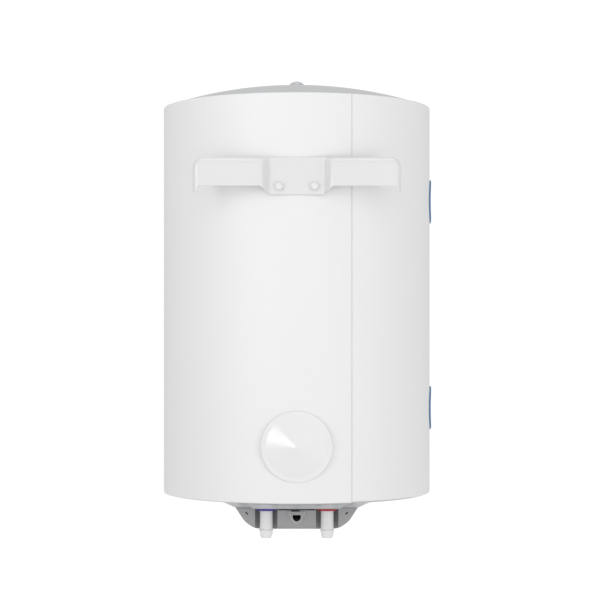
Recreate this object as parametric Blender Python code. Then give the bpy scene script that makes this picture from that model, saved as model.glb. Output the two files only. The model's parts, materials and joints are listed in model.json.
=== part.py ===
"""Wall-hung cylindrical storage water heater with a heat-exchanger coil.

Frame: +Z up, the wall is the plane y = 0 and the heater stands at y < 0, so
its front faces -Y.  The origin is on the wall plane, in the middle, at the
height of the bracket edge that hangs on the wall hooks.
Heights in the tables below are written in millimetres above the lower rim of
the shell; up(h) turns such a height into metres in the part's frame.
"""

from math import acos, asin, atan2, cos, pi, radians, sin, sqrt

import bmesh
import bpy
from mathutils import Matrix, Vector

# ---------------------------------------------------------------- dimensions
MM = 0.001
GAP = 0.3                 # clearance between pieces that touch

HANG_H = 504.0            # bracket hanging edge above the shell's lower rim
SHELL_R = 227.0           # outside radius of the shell
SHELL_H = 654.0           # height of the rolled shell
SHEET = 1.0               # shell sheet
STANDOFF = 18.0           # wall to the nearest line of the shell
AXIS_Y = -(SHELL_R + STANDOFF)
LAP = 0.6                 # step at the lap seam
SEAM_DEG = 22.7           # seam, turned from the rear centre towards -X
SEAM_DROP = 1.3           # mismatch of the two sheet edges at the lower rim

DOME_R = 222.0            # base radius of the domed top lid
DOME_H = 36.0
PLUG_R = 13.5
PLUG_TOP = 702.0

TANK_R = 205.0            # pressure vessel
TANK_WALL = 2.0
TANK_LOW = 65.0           # lower end of its straight wall
TANK_HIGH = 595.0
TANK_HEAD = 60.0          # depth of each dished head

PIPE_X = 50.0             # half the spacing of the two nipples
PIPE_Y = -112.0
PIPE_R = 10.45            # G1/2 outside
PIPE_BORE = 8.0
PIPE_END = -56.0
RING_R = 16.5

PORT_R = 37.0             # caps over the coil ports, on the -X side
PORT_LOW = 144.0
PORT_HIGH = 496.0
SOCKET_R = 17.0           # G3/4 sockets behind them

BRACKET_HALF = 163.0
BRACKET_TOP = 550.0
WING_BOTTOM = 504.0
PLATE_Y = -14.7           # wall side of the recessed middle plate
BRACKET_T = 3.0
BOLT_X = 28.0
BOLT_H = 504.0

SPACER_H = 90.6           # conical spacer cap
SPACER_R = 57.0

COVER_Y = -112.0          # outer face of the cover's flat rear wall
COVER_LOW = -51.0
COVER_WALL = 2.5
CHANNEL_R = 18.5
NECK_R = 62.0
FLANGE_R = 80.0
FLANGE_BOLT_CIRCLE = 71.0
KNOB_Y = -265.0


def up(h):
    return (h - HANG_H) * MM


# ------------------------------------------------------------------- helpers
for old in list(bpy.data.objects):
    bpy.data.objects.remove(old, do_unlink=True)

SCENE = bpy.context.scene.collection
MATERIALS = {}


def material(name, colour, roughness, metallic=0.0):
    if name not in MATERIALS:
        mat = bpy.data.materials.new(name)
        mat.use_nodes = True
        bsdf = mat.node_tree.nodes["Principled BSDF"]
        bsdf.inputs["Base Color"].default_value = (*colour, 1.0)
        bsdf.inputs["Roughness"].default_value = roughness
        bsdf.inputs["Metallic"].default_value = metallic
        mat.diffuse_color = (*colour, 1.0)
        MATERIALS[name] = mat
    return MATERIALS[name]


WHITE_STEEL = ("white_powder_coat", (0.86, 0.86, 0.86), 0.42)
LID_GREY = ("light_grey_plastic", (0.60, 0.60, 0.62), 0.35)
COVER_GREY = ("mid_grey_plastic", (0.30, 0.30, 0.31), 0.5)
WHITE_PLASTIC = ("white_plastic", (0.85, 0.85, 0.85), 0.3)
BLUE_PLASTIC = ("blue_plastic", (0.05, 0.18, 0.42), 0.35)
BLUE_RING = ("blue_ring_plastic", (0.04, 0.03, 0.30), 0.4)
RED_RING = ("red_ring_plastic", (0.35, 0.02, 0.03), 0.4)
ENAMEL = ("enamelled_steel", (0.10, 0.16, 0.25), 0.25, 0.2)
FOAM = ("polyurethane_foam", (0.75, 0.66, 0.42), 0.9)
ZINC = ("zinc_plated_steel", (0.62, 0.62, 0.64), 0.35, 1.0)
COPPER = ("copper", (0.72, 0.38, 0.26), 0.3, 1.0)
MAGNESIUM = ("magnesium", (0.55, 0.55, 0.55), 0.5, 1.0)
RUBBER = ("rubber", (0.03, 0.03, 0.03), 0.7)
BLACK_PLASTIC = ("black_plastic", (0.03, 0.03, 0.03), 0.45)
BRASS = ("brass", (0.75, 0.56, 0.25), 0.3, 1.0)
LENS = ("amber_lens", (0.85, 0.30, 0.05), 0.15)


def finish(name, bm, mat, helper=False, sharp=32.0):
    bmesh.ops.remove_doubles(bm, verts=bm.verts, dist=1e-7)
    bmesh.ops.recalc_face_normals(bm, faces=bm.faces)
    mesh = bpy.data.meshes.new(name)
    bm.to_mesh(mesh)
    bm.free()
    obj = bpy.data.objects.new(name, mesh)
    SCENE.objects.link(obj)
    if helper:
        obj.hide_render = True
        obj.display_type = "WIRE"
    else:
        mesh.materials.append(material(*mat))
        mesh.shade_smooth()
        mesh.set_sharp_from_angle(angle=radians(sharp))
    return obj


def turned(profile, segments, closed=True, bm=None):
    """Spins a profile of (radius, height) about the local Z axis, in mm."""
    bm = bm or bmesh.new()
    verts = [bm.verts.new((r * MM, 0.0, h * MM)) for r, h in profile]
    pairs = list(zip(verts, verts[1:]))
    if closed and (profile[0][0] or profile[-1][0]):
        pairs.append((verts[-1], verts[0]))
    edges = [bm.edges.new(p) for p in pairs]
    bmesh.ops.spin(
        bm, geom=verts + edges, cent=(0, 0, 0), axis=(0, 0, 1),
        angle=2 * pi, steps=segments, use_merge=True, use_duplicate=False,
    )
    bmesh.ops.remove_doubles(bm, verts=bm.verts, dist=1e-7)
    return bm


def turned_object(name, profile, segments, mat, at=(0.0, 0.0, 0.0), along="Z",
                  closed=True, helper=False, sharp=32.0):
    bm = turned(profile, segments, closed)
    obj = finish(name, bm, mat, helper, sharp)
    if along == "Y":        # local +Z to world +Y
        obj.rotation_euler = (-pi / 2, 0.0, 0.0)
    elif along == "-X":     # local +Z to world -X
        obj.rotation_euler = (0.0, -pi / 2, 0.0)
    elif along == "-Z":
        obj.rotation_euler = (pi, 0.0, 0.0)
    obj.location = at
    return obj


def tank_place():
    return (0.0, AXIS_Y * MM, up(0.0))


def on_axis(name, profile, segments, mat, **more):
    """A piece turned about the tank's axis, heights from the shell's rim."""
    return turned_object(name, profile, segments, mat, at=tank_place(), **more)


def rod(r, low, high, segments=16):
    return [(0.0, high), (r, high), (r, low), (0.0, low)]


def tube(r_out, r_in, low, high):
    return [(r_out, high), (r_out, low), (r_in, low), (r_in, high)]


def cylinder_into(bm, centre, r, low, high, segments=16, axis="Z", phase=0.0):
    """Adds a closed cylinder to bm; centre and lengths in mm, world frame."""
    turn = {"Z": Matrix.Identity(4), "Y": Matrix.Rotation(-pi / 2, 4, "X"),
            "X": Matrix.Rotation(pi / 2, 4, "Y")}[axis]
    mid = Vector(centre) + turn @ Vector((0, 0, (low + high) / 2))
    mat = Matrix.Translation(mid * MM) @ turn @ Matrix.Rotation(phase, 4, "Z")
    bmesh.ops.create_cone(bm, cap_ends=True, segments=segments,
                          radius1=r * MM, radius2=r * MM,
                          depth=abs(high - low) * MM, matrix=mat)


def box_into(bm, lo, hi, bevel=0.0):
    lo, hi = Vector(lo) * MM, Vector(hi) * MM
    made = bmesh.ops.create_cube(bm, size=1.0)
    for v in made["verts"]:
        v.co = Vector(lo[i] + (v.co[i] + 0.5) * (hi[i] - lo[i]) for i in range(3))
    if bevel:
        edges = {e for v in made["verts"] for e in v.link_edges}
        bmesh.ops.bevel(bm, geom=list(edges), offset=bevel * MM, segments=1,
                        affect="EDGES", clamp_overlap=True)


def w(x, y, h):
    """World point in mm from x, y and a height above the shell's rim."""
    return (x, y, h - HANG_H)


def cut(obj, cutter, operation="DIFFERENCE", overlapping=False):
    mod = obj.modifiers.new(cutter.name, "BOOLEAN")
    mod.use_self = overlapping
    mod.operation = operation
    mod.object = cutter
    mod.solver = "EXACT"


def hole_cutter(name, items):
    """One helper made of cylinders: (centre, r, low, high, segments, axis)."""
    bm = bmesh.new()
    for centre, r, low, high, segments, axis in items:
        cylinder_into(bm, centre, r, low, high, segments, axis)
    return finish(name, bm, None, helper=True)


def extruded(points, y0, y1, bm=None):
    """A prism from an outline of (x, height) points, from y0 to y1."""
    bm = bm or bmesh.new()
    near = [bm.verts.new(Vector(w(x, y0, h)) * MM) for x, h in points]
    far = [bm.verts.new(Vector(w(x, y1, h)) * MM) for x, h in points]
    bm.faces.new(near)
    bm.faces.new(list(reversed(far)))
    n = len(points)
    for i in range(n):
        j = (i + 1) % n
        bm.faces.new((near[j], near[i], far[i], far[j]))
    return bm


def loft(rings, bm=None):
    """Closed body through rings of the same number of points (metres)."""
    bm = bm or bmesh.new()
    made = [[bm.verts.new(p) for p in ring] for ring in rings]
    n = len(made[0])
    for a, b in zip(made, made[1:]):
        for i in range(n):
            j = (i + 1) % n
            bm.faces.new((a[i], a[j], b[j], b[i]))
    bm.faces.new(made[0])
    bm.faces.new(list(reversed(made[-1])))
    return bm


# -------------------------------------------------------------- outer shell
def lap_offset(deg):
    """How far the sheet lies inside the nominal radius, past the seam."""
    d = (deg - SEAM_DEG) % 360.0
    return LAP * max(0.0, 1.0 - d / 70.0)


def rim_offset(deg):
    d = (deg - SEAM_DEG) % 360.0
    return SEAM_DROP * max(0.0, 1.0 - d / 180.0)


def rear_point(r, deg, h):
    """Point on a cylinder about the tank; deg runs from the rear to -X."""
    a = radians(deg)
    return Vector((-r * sin(a) * MM, (AXIS_Y + r * cos(a)) * MM, up(h)))


def build_shell():
    steps = 48
    angles = [SEAM_DEG + 0.12 + i * (360.0 - 0.12) / steps for i in range(steps + 1)]
    angles[-1] = SEAM_DEG + 360.0
    bm = bmesh.new()
    rings = []
    for i, deg in enumerate(angles):
        drop = 0.0 if i == steps else lap_offset(deg)
        lift = 0.0 if i == steps else rim_offset(deg)
        ro = SHELL_R - drop
        ri = ro - SHEET
        top = SHELL_H
        profile = [
            (ro, top - 2.0), (ro, 2.0 + lift), (ro - 2.4, 0.0 + lift),
            (ro - 2.4, 1.2 + lift), (ri, 3.2 + lift), (ri, top - 3.2),
            (ro - 2.4, top - 1.2), (ro - 2.4, top),
        ]
        rings.append([bm.verts.new(rear_point(r, deg, h)) for r, h in profile])
    n = len(rings[0])
    count = len(rings)
    for k in range(count):
        a, b = rings[k], rings[(k + 1) % count]
        for i in range(n):
            j = (i + 1) % n
            bm.faces.new((a[i], a[j], b[j], b[i]))
    return finish("outer_shell", bm, WHITE_STEEL)


shell = build_shell()
cut(shell, hole_cutter("cut_shell_holes", [
    (w(-SHELL_R, AXIS_Y, PORT_LOW), 30.0, -14.0, 14.0, 18, "X"),
    (w(-SHELL_R, AXIS_Y, PORT_HIGH), 30.0, -14.0, 14.0, 18, "X"),
    (w(-BOLT_X, -18.0, BOLT_H), 6.0, -12.0, 12.0, 10, "Y"),
    (w(BOLT_X, -18.0, BOLT_H), 6.0, -12.0, 12.0, 10, "Y"),
    (w(0.0, -18.0, SPACER_H), 21.0, -12.0, 12.0, 18, "Y"),
]))


# ----------------------------------------------------------------- the lids
def dome(r, drop=0.0):
    big = (DOME_R ** 2 + DOME_H ** 2) / (2 * DOME_H)
    return SHELL_H + DOME_H - drop - (big - sqrt(big ** 2 - r ** 2))


TOP_RADII = [90.0, 155.0, 200.0]
LID_T = 1.2
top_lid = on_axis("top_lid", (
    [(8.0, dome(8.0))] + [(r, dome(r)) for r in TOP_RADII]
    + [(221.4, dome(221.4)), (223.4, 652.4), (223.4, 640.0), (222.2, 640.0),
       (222.0, 651.6)]
    + [(r, dome(r, LID_T)) for r in reversed(TOP_RADII)] + [(8.0, dome(8.0, LID_T))]
), 32, LID_GREY)

top_plug = on_axis("top_plug", [
    (0.0, PLUG_TOP), (6.0, PLUG_TOP - 0.7), (11.0, PLUG_TOP - 3.4),
    (PLUG_R, PLUG_TOP - 9.5),
    (PLUG_R, dome(PLUG_R) + 0.5), (7.6, dome(7.6) + 0.45), (7.6, 684.0),
    (8.6, 682.6), (6.4, 678.0), (0.0, 678.0),
], 18, LID_GREY)


def lid_low(r):
    """Underside of the bottom lid."""
    if r <= 108.0:
        return -24.0
    if r <= 132.0:
        return -24.0 + 8.0 * (r - 108.0) / 24.0
    return -16.0 + 15.0 * (r - 132.0) / 90.0


BOTTOM_T = 1.0
bottom_lid = on_axis("bottom_lid", [
    (83.0, -24.0), (108.0, -24.0), (132.0, -16.0), (221.6, lid_low(221.6)),
    (223.4, 0.6), (223.4, 12.0), (222.4, 12.0), (222.4, 1.2), (221.2, lid_low(221.2) + 1.02),
    (131.7, -15.0), (107.7, -23.0), (83.0, -23.0),
], 36, LID_GREY)
cut(bottom_lid, hole_cutter("cut_lid_holes", [
    (w(-PIPE_X, PIPE_Y, 0.0), 13.2, -30.0, 20.0, 14, "Z"),
    (w(PIPE_X, PIPE_Y, 0.0), 13.2, -30.0, 20.0, 14, "Z"),
    (w(-40.0, -161.0, 0.0), 4.6, -34.0, -14.0, 8, "Z"),
    (w(40.0, -161.0, 0.0), 4.6, -34.0, -14.0, 8, "Z"),
]))


# ----------------------------------------------------------- inner vessel
def head(r, radius, depth):
    return depth * sqrt(max(0.0, 1.0 - (r / radius) ** 2))


NECK_OPEN = NECK_R + GAP


def tank_section(radius, depth, low_from):
    """Half section of the vessel from its neck opening to the top pole."""
    lower, upper = [], []
    steps = 3
    a0 = asin(low_from / radius)
    for i in range(steps + 1):
        a = a0 + (pi / 2 - a0) * i / steps
        lower.append((radius * sin(a), TANK_LOW - depth * cos(a)))
    for i in range(steps + 1):
        a = pi / 2 * i / steps
        upper.append((radius * cos(a) if i < steps else 0.0, TANK_HIGH + depth * sin(a)))
    return lower + upper


outer_sec = tank_section(TANK_R, TANK_HEAD, NECK_OPEN)
inner_sec = tank_section(TANK_R - TANK_WALL, TANK_HEAD - TANK_WALL, NECK_OPEN)
tank = on_axis("inner_tank", outer_sec + inner_sec[::-1], 20, ENAMEL)
cut(tank, hole_cutter("cut_tank_holes", [
    (w(-PIPE_X, PIPE_Y, 0.0), PIPE_R + GAP + 0.4, -5.0, 60.0, 12, "Z"),
    (w(PIPE_X, PIPE_Y, 0.0), PIPE_R + GAP + 0.4, -5.0, 60.0, 12, "Z"),
    (w(-200.0, AXIS_Y, PORT_LOW), SOCKET_R + GAP + 0.6, -14.0, 14.0, 12, "X"),
    (w(-200.0, AXIS_Y, PORT_HIGH), SOCKET_R + GAP + 0.6, -14.0, 14.0, 12, "X"),
]))

F = 0.6   # foam stops this far from the sheet round it
foam_outer = (
    [(0.0, 676.0), (120.0, dome(120.0) - 6.0), (200.0, dome(200.0) - 5.0),
     (221.4, 639.4), (224.2, 639.4), (224.2, 12.6), (221.4, 12.6),
     (221.0, 2.2), (131.4, -13.9), (107.4, -22.2), (FLANGE_R + 1.0, -22.2),
     (FLANGE_R + 1.0, -13.4), (NECK_R + F, -13.4)]
)
foam_inner = tank_section(TANK_R + F, TANK_HEAD + F, NECK_R + F)
foam = on_axis("foam_insulation", foam_outer + foam_inner, 20, FOAM)
cut(foam, hole_cutter("cut_foam_holes", [
    (w(-PIPE_X, PIPE_Y, 0.0), PIPE_R + F + 0.4, -9.0, 60.0, 10, "Z"),
    (w(PIPE_X, PIPE_Y, 0.0), PIPE_R + F + 0.4, -9.0, 60.0, 10, "Z"),
    (w(-PIPE_X, PIPE_Y, 0.0), 13.2, -30.0, -7.0, 12, "Z"),
    (w(PIPE_X, PIPE_Y, 0.0), 13.2, -30.0, -7.0, 12, "Z"),
    (w(-216.0, AXIS_Y, PORT_LOW), SOCKET_R + F + 0.4, -20.0, 20.0, 12, "X"),
    (w(-216.0, AXIS_Y, PORT_HIGH), SOCKET_R + F + 0.4, -20.0, 20.0, 12, "X"),
    (w(-223.0, AXIS_Y, PORT_LOW), 31.0, -10.0, 8.0, 14, "X"),
    (w(-223.0, AXIS_Y, PORT_HIGH), 31.0, -10.0, 8.0, 14, "X"),
    (w(-BOLT_X, -30.0, BOLT_H), 10.6, -20.0, 20.0, 10, "Y"),
    (w(BOLT_X, -30.0, BOLT_H), 10.6, -20.0, 20.0, 10, "Y"),
    (w(0.0, -24.0, SPACER_H), 21.5, -9.0, 12.0, 14, "Y"),
    (w(-40.0, -161.0, 0.0), 5.6, -30.0, -10.0, 8, "Z"),
    (w(40.0, -161.0, 0.0), 5.6, -30.0, -10.0, 8, "Z"),
]), overlapping=True)

# ------------------------------------------------------- flange and heater
neck = on_axis("flange_neck", [
    (NECK_R, 12.0), (NECK_R, -14.0), (FLANGE_R, -14.0), (FLANGE_R, -20.0),
    (NECK_R - 3.0, -20.0), (NECK_R - 3.0, 12.0),
], 20, ENAMEL)
gasket = on_axis("flange_gasket", tube(65.0, 59.0, -22.3, -20.3), 20, RUBBER)
flange = on_axis("heater_flange", [
    (0.0, -22.6), (FLANGE_R, -22.6), (FLANGE_R, -27.6), (0.0, -27.6)], 20, ZINC)

BOLT_PLACES = [(FLANGE_BOLT_CIRCLE * cos(i * pi / 3), AXIS_Y + FLANGE_BOLT_CIRCLE * sin(i * pi / 3))
               for i in range(6)]
bolt_holes = hole_cutter("cut_flange_bolts", [
    (w(x, y, 0.0), 5.0, -34.0, -8.0, 6, "Z") for x, y in BOLT_PLACES])
cut(neck, bolt_holes)
cut(flange, bolt_holes)

ELEMENT_X, ELEMENT_Y, ELEMENT_R = 22.0, -232.0, 4.2
WELL_R = 7.0
ANODE_Y = -215.0
cut(flange, hole_cutter("cut_flange_fittings", [
    (w(-ELEMENT_X, ELEMENT_Y, 0.0), ELEMENT_R + GAP + 0.4, -34.0, -18.0, 10, "Z"),
    (w(ELEMENT_X, ELEMENT_Y, 0.0), ELEMENT_R + GAP + 0.4, -34.0, -18.0, 10, "Z"),
    (w(0.0, KNOB_Y, 0.0), WELL_R + GAP + 0.2, -34.0, -18.0, 12, "Z"),
    (w(0.0, ANODE_Y, 0.0), 4.0 + GAP + 0.3, -34.0, -18.0, 8, "Z"),
    (w(45.0, -262.0, 0.0), 3.2, -34.0, -18.0, 8, "Z"),
]))

# Bolts as turned pieces: a hex head needs its own outline, so the shank and
# head are built as one body with a stepped section.
def stepped_into(bm, centre, sections, axis="Z", phase=0.0):
    """One closed body from stacked sections: (radius, low, high), six-sided.

    Neighbouring sections share a plane; the step between them is an annulus
    whose two outlines have the same number of points.
    """
    turn = {"Z": Matrix.Identity(4), "Y": Matrix.Rotation(-pi / 2, 4, "X"),
            "-Z": Matrix.Rotation(pi, 4, "X"),
            "-X": Matrix.Rotation(-pi / 2, 4, "Y")}[axis]
    n = 6
    rings = []
    for r, low, high in sections:
        for level in (low, high):
            ring = []
            for i in range(n):
                a = 2 * pi * i / n + phase
                rr = r
                ring.append(bm.verts.new(
                    (Vector(centre) + turn @ Vector((rr * cos(a), rr * sin(a), level))) * MM))
            rings.append(ring)
    for a, b in zip(rings, rings[1:]):
        for i in range(n):
            j = (i + 1) % n
            bm.faces.new((a[i], a[j], b[j], b[i]))
    bm.faces.new(list(reversed(rings[0])))
    bm.faces.new(rings[-1])


def stepped(name, centre, sections, mat, axis="Z"):
    bm = bmesh.new()
    stepped_into(bm, centre, sections, axis)
    return finish(name, bm, mat)


for i, (x, y) in enumerate(BOLT_PLACES):
    stepped("flange_bolt_%d" % (i + 1), w(x, y, 0.0),
            [(7.5, -33.4, -27.9), (4.0, -27.9, -14.6)], ZINC)


def wire(name, points, radius, mat, resolution=1):
    """A round tube along points in mm (x, y, height)."""
    curve = bpy.data.curves.new(name, "CURVE")
    curve.dimensions = "3D"
    spline = curve.splines.new("POLY")
    spline.points.add(len(points) - 1)
    for p, (x, y, h) in zip(spline.points, points):
        p.co = (x * MM, y * MM, up(h), 1.0)
    curve.bevel_depth = radius * MM
    curve.bevel_resolution = resolution
    curve.use_fill_caps = True
    obj = bpy.data.objects.new(name, curve)
    SCENE.objects.link(obj)
    curve.materials.append(material(*mat))
    return obj


def arc(centre, r, a0, a1, steps, plane):
    """Points on an arc; plane maps (cos, sin) to a direction in x, y, h."""
    out = []
    for i in range(steps + 1):
        a = a0 + (a1 - a0) * i / steps
        u, v = r * cos(a), r * sin(a)
        out.append(tuple(centre[k] + u * plane[0][k] + v * plane[1][k] for k in range(3)))
    return out


XH = ((1, 0, 0), (0, 0, 1))
heater_path = [(ELEMENT_X, ELEMENT_Y, -34.0), (ELEMENT_X, ELEMENT_Y, 160.0)]
heater_path += arc((0.0, ELEMENT_Y, 330.0), ELEMENT_X, 0.0, pi, 10, XH)
heater_path += [(-ELEMENT_X, ELEMENT_Y, 160.0), (-ELEMENT_X, ELEMENT_Y, -34.0)]
wire("heating_element", heater_path, ELEMENT_R, COPPER, 2)

for side, x in (("right", -ELEMENT_X), ("left", ELEMENT_X)):
    turned_object("element_terminal_" + side, rod(1.8, -42.0, -34.3), 8, BRASS,
                  at=(x * MM, ELEMENT_Y * MM, up(0.0)))

turned_object("thermowell", [
    (0.0, 300.0), (4.6, 298.0), (WELL_R, 292.0), (WELL_R, -27.8), (5.4, -27.8),
    (5.4, 291.0), (0.0, 297.0),
], 10, COPPER, at=(0.0, KNOB_Y * MM, up(0.0)))

turned_object("magnesium_anode", [
    (0.0, 240.0), (9.0, 240.0), (11.0, 238.0), (11.0, 2.0), (10.0, 0.0), (4.0, 0.0),
    (4.0, -36.0), (0.0, -36.0)], 16, MAGNESIUM, at=(0.0, ANODE_Y * MM, up(0.0)))
nut = [(8.2, -33.6), (8.2, -27.9), (5.0, -27.9), (5.0, -33.6)]
turned_object("anode_nut", nut, 6, ZINC, at=(0.0, ANODE_Y * MM, up(0.0)))

# ----------------------------------------------------------- water nipples
for side, name, top in ((1, "cold_inlet_nipple", 46.0), (-1, "hot_outlet_nipple", 615.0)):
    turned_object(name, [
        (PIPE_R, top), (PIPE_R, PIPE_END + 1.0), (PIPE_R - 0.8, PIPE_END),
        (PIPE_BORE, PIPE_END), (PIPE_BORE, top)], 20, WHITE_STEEL,
        at=(side * PIPE_X * MM, PIPE_Y * MM, up(0.0)))

diffuser = turned_object("cold_diffuser", [
    (0.0, 66.0), (12.0, 66.0), (13.5, 64.5), (13.5, 36.0), (PIPE_R + 0.9, 36.0),
    (PIPE_R + 0.9, 46.4), (11.5, 46.4), (11.5, 63.5), (0.0, 63.5)], 12, WHITE_PLASTIC,
    at=(PIPE_X * MM, PIPE_Y * MM, up(0.0)))
bm = bmesh.new()
for turn in (0.0, pi / 3, 2 * pi / 3):
    start = len(bm.verts)
    made = bmesh.ops.create_cube(bm, size=1.0)
    for v in made["verts"]:
        v.co = Vector((v.co.x * 0.04, v.co.y * 0.004, v.co.z * 0.009))
    bmesh.ops.rotate(bm, verts=made["verts"], cent=(0, 0, 0), matrix=Matrix.Rotation(turn + 0.2, 3, "Z"))
    bmesh.ops.translate(bm, verts=made["verts"],
                        vec=Vector((PIPE_X * MM, PIPE_Y * MM, up(55.0) + turn * 1e-4)))
slots = finish("cut_diffuser", bm, None, helper=True)
cut(diffuser, slots)

under_lid = on_axis("cut_under_lid", [
    (0.0, 20.0), (235.0, 20.0), (235.0, 0.9), (132.0, -16.35), (108.0, -24.35), (0.0, -24.35)],
    36, None, helper=True)
for side, name, mat in ((1, "cold_ring", BLUE_RING), (-1, "hot_ring", RED_RING)):
    ring = turned_object(name, [
        (RING_R, -14.0), (RING_R, -18.8), (RING_R - 0.6, -19.6),
        (PIPE_R + GAP + 0.2, -19.6), (PIPE_R + GAP + 0.2, -14.0)],
        20, mat, at=(side * PIPE_X * MM, PIPE_Y * MM, up(0.0)))
    cut(ring, under_lid)

# End caps; each is a body of its own that pulls off downwards.
CAP_PROFILE = [
    (0.0, -56.9), (5.8, -56.9), (5.8, -51.6), (7.5, -51.6), (7.5, -56.5),
    (PIPE_R + GAP, -56.5), (PIPE_R + GAP, -50.7), (11.3, -50.7),
    (11.1, -56.4), (9.0, -63.0), (7.4, -64.6), (0.0, -64.6)]
for side, name in ((1, "cold_cap"), (-1, "hot_cap")):
    turned_object(name, CAP_PROFILE, 16, WHITE_PLASTIC,
                  at=(side * PIPE_X * MM, PIPE_Y * MM, up(0.0)))

# -------------------------------------------------- heat exchanger and ports
COIL_R, COIL_TUBE = 180.0, 11.0
COIL_END = 22.0        # the helix stops this many degrees short of the port
coil = []


def coil_tail(h, sign):
    """Bend from the helix to the port: the run ends along -X."""
    out = []
    a_end = radians(COIL_END)
    p0 = (-COIL_R * cos(a_end), AXIS_Y - sign * COIL_R * sin(a_end))
    p1 = (-191.0, AXIS_Y)
    p2 = (-199.0, AXIS_Y)
    for i in range(5):
        t = i / 4
        x = (1 - t) ** 2 * p0[0] + 2 * t * (1 - t) * p1[0] + t * t * p2[0]
        y = (1 - t) ** 2 * p0[1] + 2 * t * (1 - t) * p1[1] + t * t * p2[1]
        out.append((x, y, h))
    out.append((-216.0, AXIS_Y, h))
    return out


# Three turns climb from the lower port to the upper one.
coil += [(x, y, h) for x, y, h in reversed(coil_tail(PORT_LOW, -1))]
turns, per_turn = 3, 14
count = turns * per_turn
start = pi - radians(COIL_END)
sweep = 2 * pi * turns - 2 * radians(COIL_END)
for i in range(1, count):
    t = i / count
    a = start - sweep * t
    coil.append((COIL_R * cos(a), AXIS_Y + COIL_R * sin(a),
                 PORT_LOW + (PORT_HIGH - PORT_LOW) * t))
coil += coil_tail(PORT_HIGH, 1)
wire("heat_exchanger_coil", coil, COIL_TUBE, ENAMEL, 1)

for name, h in (("coil_port_lower", PORT_LOW), ("coil_port_upper", PORT_HIGH)):
    turned_object(name, [
        (SOCKET_R, 222.0), (SOCKET_R, 204.2), (COIL_TUBE + 1.2, 204.2),
        (COIL_TUBE + 1.2, 222.0)], 16, ZINC,
        at=(0.0, AXIS_Y * MM, up(h)), along="-X")


def port_cap(name, h):
    """Round cap bent to the shell: a turned section laid on the cylinder."""
    section = [
        (0.0, 0.9), (20.0, 1.0), (32.0, 1.3), (34.5, 2.8), (36.2, 2.6),
        (37.0, 0.35), (29.0, 0.35), (29.0, -8.0), (27.0, -8.0),
        (27.0, -0.6), (0.0, -0.6)]
    steps = 24
    bm = bmesh.new()
    rings = []
    for rho, lift in section:
        if rho == 0.0:
            rings.append([bm.verts.new((0.0, 0.0, (SHELL_R + lift) * MM))])
            continue
        ring = []
        for i in range(steps):
            a = 2 * pi * i / steps
            dy = rho * cos(a)
            ring.append(bm.verts.new((
                rho * sin(a) * MM, -dy * MM,
                sqrt((SHELL_R + lift) ** 2 - dy ** 2) * MM)))
        rings.append(ring)
    for a, b in zip(rings, rings[1:]):
        if len(a) == 1:
            for i in range(steps):
                bm.faces.new((a[0], b[i], b[(i + 1) % steps]))
        elif len(b) == 1:
            for i in range(steps):
                bm.faces.new((b[0], a[i], a[(i + 1) % steps]))
        else:
            for i in range(steps):
                j = (i + 1) % steps
                bm.faces.new((a[i], a[j], b[j], b[i]))
    for v in bm.verts:
        v.co.z -= SHELL_R * MM
    obj = finish(name, bm, BLUE_PLASTIC)
    obj.rotation_euler = (0.0, -pi / 2, 0.0)
    obj.location = (-SHELL_R * MM, AXIS_Y * MM, up(h))
    return obj


port_cap("port_cap_lower", PORT_LOW)
port_cap("port_cap_upper", PORT_HIGH)


# -------------------------------------------------------------- wall bracket
def smooth(t):
    t = min(1.0, max(0.0, t))
    return t * t * (3 - 2 * t)


RECESS_IN, RECESS_OUT = 41.5, 56.5      # side walls of the recess
TOP_ROLL, END_ROLL = 14.7, 9.0


def bracket_row(x_abs, roll):
    """Profile at one station: list of (height, depth behind the wall plane)."""
    wing = smooth((x_abs - RECESS_IN) / (RECESS_OUT - RECESS_IN))
    corner = max(0.0, x_abs - (BRACKET_HALF - 12.0))
    top = BRACKET_TOP - (12.0 - sqrt(max(0.0, 144.0 - corner ** 2)))
    if x_abs < RECESS_OUT + 4.0:
        t = (RECESS_OUT + 4.0 - x_abs) / (RECESS_OUT + 4.0 - RECESS_IN)
        bottom = WING_BOTTOM - 13.0 * min(1.0, max(0.0, t)) ** 1.6
    elif x_abs > 156.0:
        bottom = WING_BOTTOM - 10.0 * smooth((x_abs - 156.0) / 1.6)
    else:
        bottom = WING_BOTTOM
    rows = []
    start = top - TOP_ROLL
    for k in range(3):
        rows.append((bottom + (start - bottom) * k / 2, 0.0))
    for k in range(1, 5):
        a = pi / 2 * k / 4
        rows.append((start + TOP_ROLL * sin(a), TOP_ROLL * (1 - cos(a))))
    out = []
    for h, d in rows:
        depth = (1 - wing) * -PLATE_Y + wing * d
        depth = sqrt(depth ** 2 + roll ** 2) if roll else depth
        out.append((h, depth))
    return out


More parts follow.
